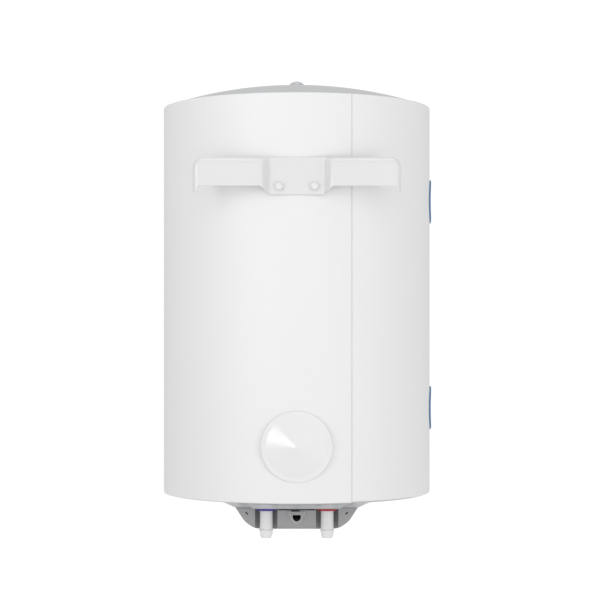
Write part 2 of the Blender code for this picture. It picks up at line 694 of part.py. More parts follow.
def build_bracket():
    stations = []
    for x in (0.0, 36.0, 41.5, 45.0, 49.0, 53.0, 56.5, 60.5, 105.0, 154.0):
        stations.append((x, 0.0))
    for k in range(1, 5):
        a = pi / 2 * k / 4
        stations.append((BRACKET_HALF - END_ROLL + END_ROLL * sin(a), END_ROLL * (1 - cos(a))))
    full = [(-x, r) for x, r in reversed(stations[1:])] + stations
    bm = bmesh.new()
    grid = []
    for x, roll in full:
        grid.append([bm.verts.new(Vector(w(x, -d, h)) * MM)
                     for h, d in bracket_row(abs(x), roll)])
    for a, b in zip(grid, grid[1:]):
        for i in range(len(a) - 1):
            bm.faces.new((a[i], a[i + 1], b[i + 1], b[i]))
    mesh = bpy.data.meshes.new("wall_bracket")
    for f in bm.faces:
        f.normal_update()
    if sum(f.normal.y for f in bm.faces) < 0:
        bmesh.ops.reverse_faces(bm, faces=bm.faces)
    bm.to_mesh(mesh)
    bm.free()
    mesh.materials.append(material(*WHITE_STEEL))
    mesh.shade_smooth()
    mesh.set_sharp_from_angle(angle=radians(40.0))
    obj = bpy.data.objects.new("wall_bracket", mesh)
    SCENE.objects.link(obj)
    mod = obj.modifiers.new("sheet", "SOLIDIFY")
    mod.thickness = BRACKET_T * MM
    mod.offset = -1.0
    mod.use_even_offset = True
    return obj


bracket = build_bracket()
cut(bracket, hole_cutter("cut_bracket_holes", [
    (w(-BOLT_X, PLATE_Y, BOLT_H), 4.6, -12.0, 12.0, 16, "Y"),
    (w(BOLT_X, PLATE_Y, BOLT_H), 4.6, -12.0, 12.0, 16, "Y")]))

boss_front = AXIS_Y + sqrt(TANK_R ** 2 - (BOLT_X - 10) ** 2) + 0.5
boss_back = on_axis("cut_boss_back", rod(TANK_R + 0.4, 440.0, 570.0), 40, None, helper=True)
for side, x in (("right", -BOLT_X), ("left", BOLT_X)):
    place = (x * MM, 0.0, up(BOLT_H))
    weld_boss = turned_object("bracket_boss_" + side, tube(9.5, 4.6, boss_front, -24.2), 14,
                              ZINC, at=place, along="Y")
    cut(weld_boss, boss_back)
    stepped("bracket_bolt_" + side, w(x, 0.0, BOLT_H), [
        (4.0, -37.5, -12.9), (7.4, -12.9, -9.4), (5.6, -9.4, -7.4)], ZINC, "Y")
    turned_object("bracket_washer_" + side, tube(8.6, 4.6, -14.4, -13.2), 16, ZINC,
                  at=place, along="Y")

# ---------------------------------------------------------------- spacer cap
spacer = turned_object("rear_spacer_cap", [
    (0.0, 0.0), (2.4, -0.5), (48.0, -15.3), (49.4, -15.8), (56.2, -16.0),
    (57.0, -16.8), (57.0, -29.0), (55.0, -29.0), (55.0, -18.0), (49.0, -17.8),
    (20.0, -8.6), (20.0, -30.0), (18.0, -30.0), (18.0, -7.9), (0.0, -2.4),
], 28, WHITE_PLASTIC, at=(0.0, 0.0, up(SPACER_H)), along="Y")
# The foot follows the shell: everything outside the 21 mm fill hole is cut
# back to the cylinder.
cut(spacer, on_axis("cut_spacer_back", [
    (SHELL_R + 0.35, 190.0), (SHELL_R + 0.35, 10.0), (150.0, 10.0), (150.0, 190.0)],
    60, None, helper=True))
spigot = turned_object("cut_spigot", tube(20.0, 18.0, -30.0, -12.0), 28, None,
                       at=(0.0, 0.0, up(SPACER_H)), along="Y", helper=True)
cut(spacer, spigot, "UNION")


# -------------------------------------------------------------- bottom cover
COVER_SIDE = [
    (-15.4, 100.3), (-27.7, 92.3), (-37.6, 84.9), (-42.5, 79.2), (-46.3, 73.6),
    (-49.4, 67.0), (-50.7, 61.5), (-51.0, 56.0)]
FILLET = -COVER_LOW - 37.6


def cover_levels(inset):
    rows = []
    n = len(COVER_SIDE)
    for i, (h, half) in enumerate(COVER_SIDE):
        a = COVER_SIDE[max(0, i - 1)]
        b = COVER_SIDE[min(n - 1, i + 1)]
        dh, dw = b[0] - a[0], b[1] - a[1]
        length = sqrt(dh * dh + dw * dw)
        nh, nw = dw / length, -dh / length       # outward: down and out
        if i == n - 1:
            nh, nw = -1.0, 0.0
        rows.append((h - inset * nh, half - inset * nw))
    if inset:
        rows = [(h, half) for h, half in rows if h <= rows[0][0] or h < -10.0]
        first_h, first_w = rows[0]
        rows[0] = (-5.0, first_w + (first_h + 5.0) * -0.66)
    return rows


def cover_rear(h, inset):
    """y of the rear wall at one height."""
    start = -37.6
    y = COVER_Y - inset
    if h >= start:
        return y
    r = FILLET - inset
    return y - (r - sqrt(max(0.0, r * r - (start - h) ** 2)))


def cover_ring(h, half, inset):
    y = cover_rear(h, inset)
    front = half + 3.7
    c = 2.0
    pts = [(half - c, y), (half, y - c)]
    steps = 16
    for i in range(steps + 1):
        a = pi * i / steps
        pts.append((front * cos(a), AXIS_Y - front * sin(a)))
    pts += [(-half, y - c), (-half + c, y)]
    return [Vector(w(px, py, h)) * MM for px, py in pts]


cover = finish("bottom_cover", loft([cover_ring(h, half, 0.0)
                                     for h, half in cover_levels(0.0)]), COVER_GREY)
boss_outline = [(13.5, -21.4), (13.5, -25.6), (9.8, -28.6)]
for i in range(1, 10):
    a = -pi * i / 10
    boss_outline.append((9.8 * cos(a), -31.1 + 9.8 * sin(a)))
boss_outline += [(-9.8, -28.6), (-13.5, -25.6), (-13.5, -21.4)]
boss = finish("add_outlet_boss", extruded(boss_outline, -110.4, -113.2), None, helper=True)
cut(cover, boss, "UNION")
channels = hole_cutter("cut_channels", [
    (w(-PIPE_X, PIPE_Y, 0.0), CHANNEL_R, -70.0, 0.0, 24, "Z"),
    (w(PIPE_X, PIPE_Y, 0.0), CHANNEL_R, -70.0, 0.0, 24, "Z")])
cut(cover, channels)
hollow = finish("cut_cover_inside", loft([cover_ring(h, half, COVER_WALL)
                                          for h, half in cover_levels(COVER_WALL)]),
                None, helper=True)
cut(hollow, hole_cutter("keep_channels", [
    (w(-PIPE_X, PIPE_Y, 0.0), CHANNEL_R + COVER_WALL, -70.0, 10.0, 24, "Z"),
    (w(PIPE_X, PIPE_Y, 0.0), CHANNEL_R + COVER_WALL, -70.0, 10.0, 24, "Z")]))
# Posts for the cover screws and for the cable clamp stay standing inside.
cut(hollow, hole_cutter("keep_posts", [
    (w(-40.0, -161.0, 0.0), 5.0, -56.0, -32.0, 10, "Z"),
    (w(40.0, -161.0, 0.0), 5.0, -56.0, -32.0, 10, "Z"),
    (w(-12.0, -134.0, 0.0), 3.6, -56.0, -41.0, 8, "Z"),
    (w(12.0, -134.0, 0.0), 3.6, -56.0, -41.0, 8, "Z")]))
cut(cover, hollow)
# The upper edge follows the bottom lid.
cut(cover, under_lid)
bm = bmesh.new()
extruded([(-31.0, -10.0), (31.0, -10.0), (31.0, -19.2), (9.0, -19.2), (9.0, -21.2),
          (-5.0, -21.2), (-5.0, -19.2), (-31.0, -19.2)], -100.0, -118.0, bm)
outlet = [(7.0, -27.7), (7.0, -30.0)]
for i in range(1, 8):
    a = -pi * i / 8
    outlet.append((7.0 * cos(a), -30.0 + 6.4 * sin(a)))
outlet += [(-7.0, -30.0), (-7.0, -27.7)]
extruded(outlet, -105.0, -120.0, bm)
for side in (-1, 1):
    c, s_ = cos(radians(45.0)), sin(radians(45.0))
    pts = []
    for u, v in ((-2.4, -0.9), (2.4, -0.9), (2.4, 0.9), (-2.4, 0.9)):
        pts.append((side * (82.0 + u * c - v * s_), -24.0 + u * s_ + v * c))
    if side < 0:
        pts.reverse()
    extruded(pts, -105.0, -120.0, bm)
cut(cover, finish("cut_cover_rear", bm, None, helper=True))
cut(cover, hole_cutter("cut_cover_floor", [
    (w(0.0, KNOB_Y, 0.0), 4.2, -60.0, -44.0, 16, "Z"),
    (w(32.0, -225.0, 0.0), 3.6, -60.0, -44.0, 14, "Z"),
    (w(-40.0, -161.0, 0.0), 2.6, -60.0, -28.0, 8, "Z"),
    (w(40.0, -161.0, 0.0), 2.6, -60.0, -28.0, 8, "Z"),
    (w(-12.0, -134.0, 0.0), 1.9, -47.0, -36.0, 8, "Z"),
    (w(12.0, -134.0, 0.0), 1.9, -47.0, -36.0, 8, "Z")]))

for side, x in (("right", -40.0), ("left", 40.0)):
    stepped("cover_screw_" + side, w(x, -161.0, 0.0), [
        (3.0, -53.6, -52.8), (4.2, -52.8, -51.3), (2.0, -51.3, -19.5)], ZINC)
    turned_object("cover_rivet_nut_" + side, [
        (6.2, -24.4), (6.2, -25.6), (2.6, -25.6), (2.6, -16.0), (4.2, -16.0), (4.2, -24.4)],
        10, ZINC, at=(x * MM, -161.0 * MM, up(0.0)))

# ------------------------------------------------------ electrical pieces
thermostat = turned_object("thermostat", [
    (0.0, 270.0), (3.2, 270.0), (3.2, -28.3), (4.8, -28.3), (4.8, -30.0), (0.0, -30.0)],
    12, BLACK_PLASTIC, at=(0.0, KNOB_Y * MM, up(0.0)))
bm = bmesh.new()
box_into(bm, w(-22.0, KNOB_Y - 18.0, -46.4), w(22.0, KNOB_Y + 17.0, -29.2), 1.5)
cut(thermostat, finish("add_thermostat_body", bm, None, helper=True), "UNION")

bm = bmesh.new()
box_into(bm, w(-20.0, -192.0, -41.0), w(20.0, -174.0, -28.0), 1.0)
block = finish("terminal_block", bm, WHITE_PLASTIC)
bm = bmesh.new()
for x in (-12.0, 0.0, 12.0):
    cylinder_into(bm, w(x, -186.5, 0.0), 2.2, -46.0, -37.0, 10)
    cylinder_into(bm, w(x, -178.0, 0.0), 2.2, -46.0, -37.0, 10)
cut(block, finish("cut_block", bm, None, helper=True))

turned_object("thermal_cutout", [
    (0.0, -28.0), (8.0, -28.0), (8.0, -33.0), (6.0, -34.0), (6.0, -38.0), (2.0, -38.0),
    (2.0, -40.0), (0.0, -40.0)], 14, BLACK_PLASTIC, at=(-0.048, -0.262, up(0.0)))
stepped("earth_screw", w(45.0, -262.0, 0.0),
        [(5.0, -31.5, -27.9), (2.6, -27.9, -20.5)], BRASS)

bm = bmesh.new()
outline = [(-17.0, -34.0), (-17.0, -40.6), (-6.0, -40.6)]
for i in range(1, 6):
    a = pi - pi * i / 6
    outline.append((5.0 * cos(a), -40.6 + 3.0 * sin(a)))
outline += [(6.0, -40.6), (17.0, -40.6), (17.0, -34.0)]
extruded(outline, -129.5, -138.5, bm)
clamp = finish("cable_clamp", bm, WHITE_PLASTIC)
cut(clamp, hole_cutter("cut_clamp", [
    (w(-12.0, -134.0, 0.0), 1.9, -45.0, -30.0, 8, "Z"),
    (w(12.0, -134.0, 0.0), 1.9, -45.0, -30.0, 8, "Z")]))
for side, x in (("right", -12.0), ("left", 12.0)):
    stepped("clamp_screw_" + side, w(x, -134.0, 0.0),
            [(1.4, -46.0, -33.7), (3.0, -33.7, -31.8)], ZINC)

turned_object("indicator_lens", [
    (0.0, -52.6), (2.4, -52.2), (4.6, -51.6), (4.6, -51.3), (3.3, -51.3), (3.3, -47.0),
    (2.5, -47.0), (2.5, -50.0), (0.0, -50.4)], 16, LENS, at=(0.032, -0.225, up(0.0)))
turned_object("indicator_lamp", [
    (0.0, -49.4), (1.6, -48.8), (2.1, -47.6), (2.1, -38.0), (0.0, -38.0)], 12,
    WHITE_PLASTIC, at=(0.032, -0.225, up(0.0)))


def lead(name, points, mat):
    """Smooth run through a few points (Catmull-Rom), 1.2 mm radius."""
    ps = [Vector(p) for p in points]
    ps = [ps[0] + (ps[0] - ps[1])] + ps + [ps[-1] + (ps[-1] - ps[-2])]
    out = []
    for k in range(1, len(ps) - 2):
        for i in range(4):
            t = i / 4
            a, b, c, d = ps[k - 1], ps[k], ps[k + 1], ps[k + 2]
            out.append(tuple(0.5 * ((2 * b) + (-a + c) * t + (2 * a - 5 * b + 4 * c - d) * t * t
                                    + (-a + 3 * b - 3 * c + d) * t ** 3)))
    out.append(tuple(ps[-2]))
    return wire(name, out, 1.1, mat, 1)


LEAD_BROWN = ("brown_wire", (0.16, 0.06, 0.02), 0.5)
LEAD_BLUE = ("blue_wire", (0.03, 0.10, 0.45), 0.5)
lead("lead_live", [(-12.0, -192.6, -35.0), (-14.0, -200.0, -36.0), (-12.0, -232.0, -44.5),
                   (-12.0, -240.0, -42.0), (-12.0, -247.4, -40.0)], LEAD_BROWN)
lead("lead_neutral", [(12.0, -192.6, -35.0), (12.5, -200.0, -36.0), (12.0, -232.0, -44.5),
                      (12.0, -240.0, -42.0), (12.0, -247.4, -40.0)], LEAD_BLUE)

# ------------------------------------------------------------ control knob
knob = turned_object("control_knob", [
    (0.0, -62.0), (19.6, -62.0), (21.4, -60.6), (23.0, -53.0), (23.0, -51.8),
    (21.4, -51.8), (20.2, -58.6), (5.2, -59.4), (5.2, -51.8), (3.4, -51.8), (3.4, -59.8),
    (0.0, -59.8)], 22, WHITE_PLASTIC, at=(0.0, KNOB_Y * MM, up(0.0)))
turned_object("knob_spindle", [
    (0.0, -46.9), (3.0, -46.9), (3.0, -59.4), (0.0, -59.4)], 12, ZINC,
    at=(0.0, KNOB_Y * MM, up(0.0)))
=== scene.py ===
"""Looks for the wall-hung tank water heater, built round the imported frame."""

import json
from math import acos, asin, cos, pi, radians, sin, sqrt, tan

import bmesh
import bpy
from mathutils import Matrix, Vector


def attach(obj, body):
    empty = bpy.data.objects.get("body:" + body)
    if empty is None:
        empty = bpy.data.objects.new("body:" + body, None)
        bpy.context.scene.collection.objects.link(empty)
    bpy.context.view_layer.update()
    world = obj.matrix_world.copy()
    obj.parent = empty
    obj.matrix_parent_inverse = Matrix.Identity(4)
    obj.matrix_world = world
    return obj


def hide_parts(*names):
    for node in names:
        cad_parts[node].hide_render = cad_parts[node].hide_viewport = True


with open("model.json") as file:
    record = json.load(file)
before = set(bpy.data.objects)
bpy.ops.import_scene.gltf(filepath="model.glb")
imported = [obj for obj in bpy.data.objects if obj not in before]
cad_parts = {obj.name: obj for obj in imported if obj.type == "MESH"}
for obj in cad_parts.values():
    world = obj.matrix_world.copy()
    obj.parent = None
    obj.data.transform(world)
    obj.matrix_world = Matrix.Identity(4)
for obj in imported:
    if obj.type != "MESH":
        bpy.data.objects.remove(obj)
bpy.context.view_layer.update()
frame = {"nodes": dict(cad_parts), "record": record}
RECORD = frame["record"]
MM = 0.001

# ----------------------------------------------------------- shared dimensions
HANG_H = 504.0
SHELL_R, SHELL_H = 227.0, 654.0
AXIS_Y = -245.0
LAP, SEAM_DEG, SEAM_DROP = 0.6, 22.7, 1.3
DOME_R, DOME_H = 222.0, 36.0
PIPE_X, PIPE_Y, PIPE_R = 50.0, -112.0, 10.45
PORT_LOW, PORT_HIGH = 144.0, 496.0
SPACER_H = 90.6
KNOB_Y = -265.0
COVER_Y = -112.0


def w(x, y, h):
    return Vector((x, y, h - HANG_H)) * MM


# ------------------------------------------------------------------ materials
def nodes_of(name):
    mat = bpy.data.materials.new(name)
    mat.use_nodes = True
    nt = mat.node_tree
    return mat, nt, nt.nodes["Principled BSDF"]


def noise(nt, coords, scale, detail=3.0, rough=0.5, stretch=None):
    vec = coords
    if stretch:
        mapping = nt.nodes.new("ShaderNodeMapping")
        mapping.inputs["Scale"].default_value = stretch
        nt.links.new(coords, mapping.inputs["Vector"])
        vec = mapping.outputs["Vector"]
    tex = nt.nodes.new("ShaderNodeTexNoise")
    tex.inputs["Scale"].default_value = scale
    tex.inputs["Detail"].default_value = detail
    tex.inputs["Roughness"].default_value = rough
    nt.links.new(vec, tex.inputs["Vector"])
    return tex.outputs["Fac"]


def ramp(nt, fac, lo, hi, p0=0.3, p1=0.7):
    node = nt.nodes.new("ShaderNodeMapRange")
    node.inputs["From Min"].default_value = p0
    node.inputs["From Max"].default_value = p1
    node.inputs["To Min"].default_value = lo
    node.inputs["To Max"].default_value = hi
    nt.links.new(fac, node.inputs["Value"])
    return node.outputs["Result"]


def mix_colour(nt, fac, a, b):
    node = nt.nodes.new("ShaderNodeMix")
    node.data_type = "RGBA"
    nt.links.new(fac, node.inputs["Factor"])
    node.inputs[6].default_value = (*a, 1.0)
    node.inputs[7].default_value = (*b, 1.0)
    return node.outputs[2]


def surface(name, colour, rough, metal=0.0, tint=0.03, fine=900.0, bump=0.02,
            distance=0.0002, rough_var=0.05, big=14.0, coat=0.0, coat_rough=0.1,
            stretch=None, specular=0.5, dirt=None):
    """A finish: soft colour variation, varied roughness and a fine bump."""
    mat, nt, bsdf = nodes_of(name)
    geo = nt.nodes.new("ShaderNodeTexCoord").outputs["Object"]
    broad = noise(nt, geo, big, 4.0, 0.55, stretch)
    lo = tuple(max(0.0, c * (1.0 - tint)) for c in colour)
    hi = tuple(min(1.0, c * (1.0 + tint)) for c in colour)
    col = mix_colour(nt, ramp(nt, broad, 0.0, 1.0), lo, hi)
    nt.links.new(col, bsdf.inputs["Base Color"])
    fine_fac = noise(nt, geo, fine, 2.0, 0.6, stretch)
    smear = noise(nt, geo, big * 3.1, 5.0, 0.6, stretch)
    nt.links.new(ramp(nt, smear, rough - rough_var, rough + rough_var),
                 bsdf.inputs["Roughness"])
    b = nt.nodes.new("ShaderNodeBump")
    b.inputs["Strength"].default_value = bump
    b.inputs["Distance"].default_value = distance
    nt.links.new(fine_fac, b.inputs["Height"])
    nt.links.new(b.outputs["Normal"], bsdf.inputs["Normal"])
    bsdf.inputs["Metallic"].default_value = metal
    bsdf.inputs["Specular IOR Level"].default_value = specular
    if coat:
        bsdf.inputs["Coat Weight"].default_value = coat
        bsdf.inputs["Coat Roughness"].default_value = coat_rough
    return mat


M = {
    "shell_white": surface("painted_sheet_white", (0.80, 0.80, 0.803), 0.52, tint=0.006,
                           fine=620.0, bump=0.05, distance=0.0001, rough_var=0.05, big=3.0,
                           stretch=(1.0, 1.0, 0.35)),
    "lid_grey": surface("lid_light_grey", (0.555, 0.562, 0.58), 0.12, tint=0.012,
                        fine=500.0, bump=0.03, distance=0.0001, big=9.0),
    "cover_grey": surface("cover_mid_grey", (0.34, 0.34, 0.346), 0.3, tint=0.02,
                          fine=3000.0, bump=0.06, distance=0.0001, big=12.0, rough_var=0.03),
    "bracket_white": surface("bracket_powder_white", (0.725, 0.725, 0.728), 0.18, tint=0.01,
                             fine=900.0, bump=0.12, distance=0.0001, big=18.0),
    "white_plastic": surface("moulded_white", (0.785, 0.785, 0.785), 0.16, tint=0.008,
                             fine=1300.0, bump=0.04, distance=0.0001, big=25.0),
    "pipe_white": surface("pipe_white_enamel", (0.74, 0.74, 0.745), 0.30, tint=0.03,
                          fine=700.0, bump=0.12, distance=0.0001, big=60.0,
                          stretch=(1.0, 1.0, 0.18)),
    "blue_plastic": surface("cap_blue", (0.055, 0.185, 0.39), 0.34, tint=0.05,
                            fine=1500.0, bump=0.10, distance=0.0001, big=30.0),
    "cold_blue": surface("ring_blue", (0.045, 0.030, 0.27), 0.35, tint=0.06,
                         fine=1500.0, bump=0.08, distance=0.0001, big=60.0),
    "hot_red": surface("ring_red", (0.36, 0.018, 0.03), 0.35, tint=0.06,
                       fine=1500.0, bump=0.08, distance=0.0001, big=60.0),
    "enamel": surface("vessel_enamel", (0.045, 0.075, 0.13), 0.2, tint=0.25,
                      fine=260.0, bump=0.3, distance=0.0003, big=30.0, coat=0.4),
    "foam": surface("rigid_foam", (0.68, 0.55, 0.30), 0.9, tint=0.12,
                    fine=420.0, bump=0.9, distance=0.0012, big=24.0, specular=0.2),
    "zinc": surface("zinc_plate", (0.62, 0.62, 0.64), 0.32, metal=1.0, tint=0.10,
                    fine=900.0, bump=0.12, distance=0.0001, big=90.0, rough_var=0.10),
    "copper": surface("bare_copper", (0.72, 0.37, 0.24), 0.3, metal=1.0, tint=0.15,
                      fine=700.0, bump=0.15, distance=0.0001, big=50.0, rough_var=0.12),
    "magnesium": surface("cast_magnesium", (0.50, 0.50, 0.50), 0.55, metal=0.9, tint=0.15,
                         fine=500.0, bump=0.4, distance=0.0003, big=60.0),
    "brass": surface("brass", (0.74, 0.53, 0.22), 0.3, metal=1.0, tint=0.10,
                     fine=900.0, bump=0.1, distance=0.0001, big=90.0),
    "rubber": surface("black_rubber", (0.02, 0.02, 0.02), 0.7, tint=0.2,
                      fine=900.0, bump=0.2, distance=0.0002, big=40.0),
    "black_plastic": surface("black_moulding", (0.025, 0.025, 0.027), 0.45, tint=0.2,
                             fine=1600.0, bump=0.2, distance=0.0002, big=40.0),
    "wire_brown": surface("sheath_brown", (0.13, 0.05, 0.02), 0.45, tint=0.1, big=60.0),
    "wire_blue": surface("sheath_blue", (0.02, 0.08, 0.38), 0.45, tint=0.1, big=60.0),
    "lens_amber": surface("lens_amber", (0.75, 0.20, 0.02), 0.12, tint=0.06, big=80.0,
                          coat=0.6, coat_rough=0.05),
}
M["fastener_white"] = surface("fastener_painted", (0.74, 0.74, 0.745), 0.28, metal=0.0,
                              tint=0.04, fine=1100.0, bump=0.1, distance=0.0001, big=80.0)
# Lighter grey for the ribs round the outlet boss: a painted highlight along the boss outline, laid
# over the ribs' real raised shape.
M["cover_edge"] = surface("cover_painted_highlight_edge", (0.52, 0.52, 0.525), 0.3, tint=0.06,
                          fine=2200.0, bump=0.1, distance=0.0001, big=60.0)
DARK = surface("print_dark_grey", (0.09, 0.09, 0.095), 0.4, tint=0.1, big=60.0)


# --------------------------------------------------------------- mesh helpers
def finish_mesh(name, bm, mat, body, replaces=(), sharp=34.0, bevel=0.0,
                bevel_angle=38.0, helper=False):
    bmesh.ops.remove_doubles(bm, verts=bm.verts, dist=1e-7)
    bmesh.ops.recalc_face_normals(bm, faces=bm.faces)
    mesh = bpy.data.meshes.new(name)
    bm.to_mesh(mesh)
    bm.free()
    obj = bpy.data.objects.new(name, mesh)
    bpy.context.scene.collection.objects.link(obj)
    if helper:
        return obj
    mesh.materials.append(mat)
    mesh.shade_smooth()
    mesh.set_sharp_from_angle(angle=radians(sharp))
    if bevel:
        add_bevel(obj, bevel, bevel_angle)
    settle(obj, body, replaces)
    return obj


def settle(obj, body, replaces=()):
    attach(obj, body)
    if replaces:
        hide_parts(*replaces)


def add_bevel(obj, width, angle=38.0, segments=2):
    mod = obj.modifiers.new("edges", "BEVEL")
    mod.width = width * MM
    mod.segments = segments
    mod.limit_method = "ANGLE"
    mod.angle_limit = radians(angle)
    mod.harden_normals = False
    mod.miter_outer = "MITER_ARC"


def apply_modifiers(obj):
    """Replaces the mesh by its evaluated result and drops the modifiers."""
    dg = bpy.context.evaluated_depsgraph_get()
    dg.update()
    made = bpy.data.meshes.new_from_object(obj.evaluated_get(dg), depsgraph=dg)
    old = obj.data
    obj.modifiers.clear()
    obj.data = made
    bpy.data.meshes.remove(old)


def boolean(obj, cutter, operation="DIFFERENCE"):
    mod = obj.modifiers.new("cut", "BOOLEAN")
    mod.operation = operation
    mod.object = cutter
    mod.solver = "EXACT"
    bpy.context.view_layer.update()
    apply_modifiers(obj)
    mesh = cutter.data
    bpy.data.objects.remove(cutter, do_unlink=True)
    bpy.data.meshes.remove(mesh)


def turned(profile, segments, at, along="Z", shape=None, bm=None, closed=True):
    """A body of revolution; profile of (radius, height) in mm, at in metres.

    shape(radius, height, angle) may return another (radius, height).
    """
    bm = bm or bmesh.new()
    turn = {"Z": Matrix.Identity(3), "Y": Matrix.Rotation(-pi / 2, 3, "X"),
            "-X": Matrix.Rotation(-pi / 2, 3, "Y")}[along]
    at = Vector(at)
    rings = []
    for k, (r, h) in enumerate(profile):
        if r == 0.0:
            rings.append([bm.verts.new(at + turn @ Vector((0, 0, h * MM)))])
            continue
        ring = []
        for i in range(segments):
            a = 2 * pi * i / segments
            rr, hh = shape(r, h, a, k) if shape else (r, h)
            ring.append(bm.verts.new(at + turn @ Vector((rr * cos(a), rr * sin(a), hh)) * MM))
        rings.append(ring)
    pairs = list(zip(rings, rings[1:]))
    if closed and len(rings[0]) > 1 and len(rings[-1]) > 1:
        pairs.append((rings[-1], rings[0]))
    n = segments
    for a, b in pairs:
        if len(a) == 1 and len(b) == 1:
            continue
        for i in range(n):
            j = (i + 1) % n
            if len(a) == 1:
                bm.faces.new((a[0], b[i], b[j]))
            elif len(b) == 1:
                bm.faces.new((b[0], a[j], a[i]))
            else:
                bm.faces.new((a[i], a[j], b[j], b[i]))
    return bm


def rounded(points, radius, steps=4):
    """Rounds the corners of an open profile; radius per corner or one for all."""
    out = [points[0]]
    for i in range(1, len(points) - 1):
        r = radius[i] if isinstance(radius, (list, tuple)) else radius
        p, a, b = Vector(points[i]), Vector(points[i - 1]), Vector(points[i + 1])
        if r <= 0:
            out.append(tuple(p))
            continue
        da, db = (a - p), (b - p)
        la, lb = da.length, db.length
        if la < 1e-9 or lb < 1e-9:
            continue
        da /= la
        db /= lb
        ang = acos(max(-1.0, min(1.0, da.dot(db))))
        if ang > pi - 0.05 or ang < 0.05:
            out.append(tuple(p))
            continue
        reach = min(r / tan(ang / 2), la * 0.49, lb * 0.49)
        s, e = p + da * reach, p + db * reach
        for k in range(steps + 1):
            t = k / steps
            q = s * (1 - t) ** 2 + p * 2 * t * (1 - t) + e * t * t
            out.append(tuple(q))
    out.append(points[-1])
    return out


def cylinder(centre, r, low, high, segments, axis="Z"):
    bm = bmesh.new()
    turn = {"Z": Matrix.Identity(4), "Y": Matrix.Rotation(-pi / 2, 4, "X"),
            "X": Matrix.Rotation(pi / 2, 4, "Y")}[axis]
    mid = Vector(centre) + (turn @ Vector((0, 0, (low + high) / 2))) * MM
    bmesh.ops.create_cone(bm, cap_ends=True, segments=segments, radius1=r * MM,
                          radius2=r * MM, depth=abs(high - low) * MM,
                          matrix=Matrix.Translation(mid) @ turn)
    return finish_mesh("helper", bm, None, None, helper=True)


def prism(points, y0, y1):
    """Helper prism from an outline of (x, height) points between two y."""
    bm = bmesh.new()
    near = [bm.verts.new(w(x, y0, h)) for x, h in points]
    far = [bm.verts.new(w(x, y1, h)) for x, h in points]
    bm.faces.new(near)
    bm.faces.new(list(reversed(far)))
    n = len(points)
    for i in range(n):
        j = (i + 1) % n
        bm.faces.new((near[j], near[i], far[i], far[j]))
    return finish_mesh("helper", bm, None, None, helper=True)


AXIS = w(0.0, AXIS_Y, 0.0)


# ------------------------------------------------------------------ the shell
def lap_offset(deg):
    return LAP * max(0.0, 1.0 - ((deg - SEAM_DEG) % 360.0) / 70.0)


def rim_offset(deg):
    return SEAM_DROP * max(0.0, 1.0 - ((deg - SEAM_DEG) % 360.0) / 180.0)


def build_shell():
    steps = 288
    gap = 0.38
    angles = [SEAM_DEG + 0.02, SEAM_DEG + 0.34]
    angles += [SEAM_DEG + gap + i * (360.0 - gap) / steps for i in range(steps + 1)]
    bm = bmesh.new()
    rings = []
    last = len(angles) - 1
    for i, deg in enumerate(angles):
        drop = 0.0 if i == last else lap_offset(deg)
        lift = 0.0 if i == last else rim_offset(deg)
        if i < 2:
            drop = 2.0
        ro, ri = SHELL_R - drop, SHELL_R - drop - 1.0
        pts = [(ri, 20.0), (ri, 3.4 + lift), (ro - 2.3, 1.5 + lift), (ro - 2.4, 0.55 + lift)]
        for k in range(6):                       # lower rolled edge
            a = pi / 2 * k / 5
            pts.append((ro - 2.0 + 2.0 * sin(a), 2.0 - 2.0 * cos(a) + lift))
        pts += [(ro, 4.5 + lift), (ro, 12.0), (ro, 120.0), (ro, 327.0), (ro, 540.0),
                (ro, 642.0), (ro, SHELL_H - 4.0)]
        for k in range(6):                       # upper rolled edge
            a = pi / 2 * k / 5
            pts.append((ro - 2.0 + 2.0 * cos(a), SHELL_H - 2.0 + 2.0 * sin(a)))
        pts += [(ro - 2.4, SHELL_H - 0.5), (ro - 2.3, SHELL_H - 1.5), (ri, SHELL_H - 3.4)]
        a = radians(deg)
        rings.append([bm.verts.new(w(-r * sin(a), AXIS_Y + r * cos(a), h)) for r, h in pts])
    n = len(rings[0])
    for k in range(len(rings)):
        a, b = rings[k], rings[(k + 1) % len(rings)]
        for i in range(n):
            j = (i + 1) % n
            bm.faces.new((a[i], a[j], b[j], b[i]))
    return finish_mesh("shell_sheet", bm, M["shell_white"], "root", ("outer_shell",),
                       sharp=28.0)


shell = build_shell()
for port in (PORT_LOW, PORT_HIGH):
    boolean(shell, cylinder(w(-SHELL_R, AXIS_Y, port), 30.0, -16.0, 16.0, 64, "X"))
shell.data.set_sharp_from_angle(angle=radians(28.0))


# ------------------------------------------------------------------- the lids
def dome(r, drop=0.0):
    big = (DOME_R ** 2 + DOME_H ** 2) / (2 * DOME_H)
    return SHELL_H + DOME_H - drop - (big - sqrt(big ** 2 - r ** 2))


radii = [8.0 + (219.0 - 8.0) * i / 22 for i in range(23)]
outer = [(r, dome(r)) for r in radii]
edge = rounded([(219.0, dome(219.0)), (222.6, dome(222.2)), (223.3, 652.0), (223.4, 640.3)],
               1.0, 4)
inner = [(222.2, 640.3), (222.0, 651.4)] + [(r, dome(r, 1.2)) for r in reversed(radii)]
finish_mesh("lid_top", turned(outer + edge[1:] + inner, 192, AXIS), M["lid_grey"], "root",
            ("top_lid",))

plug = [(0.0, 702.0)]
for i in range(1, 11):
    a = pi / 2 * i / 10
    plug.append((12.9 * sin(a), 702.0 - 8.2 * (1 - cos(a))))
plug += rounded([(13.0, 693.2), (13.5, 692.4), (13.5, dome(13.5) + 0.35), (7.6, dome(8.0) + 0.4)],
                0.35, 3)
plug += [(7.6, 684.0), (8.4, 682.6), (6.4, 678.2), (0.0, 678.2)]
finish_mesh("lid_plug", turned(plug, 64, AXIS), M["lid_grey"], "root", ("top_plug",))


def lid_low(r):
    if r <= 108.0:
        return -24.0
    if r <= 132.0:
        return -24.0 + 8.0 * (r - 108.0) / 24.0
    return -16.0 + 15.0 * (r - 132.0) / 90.0


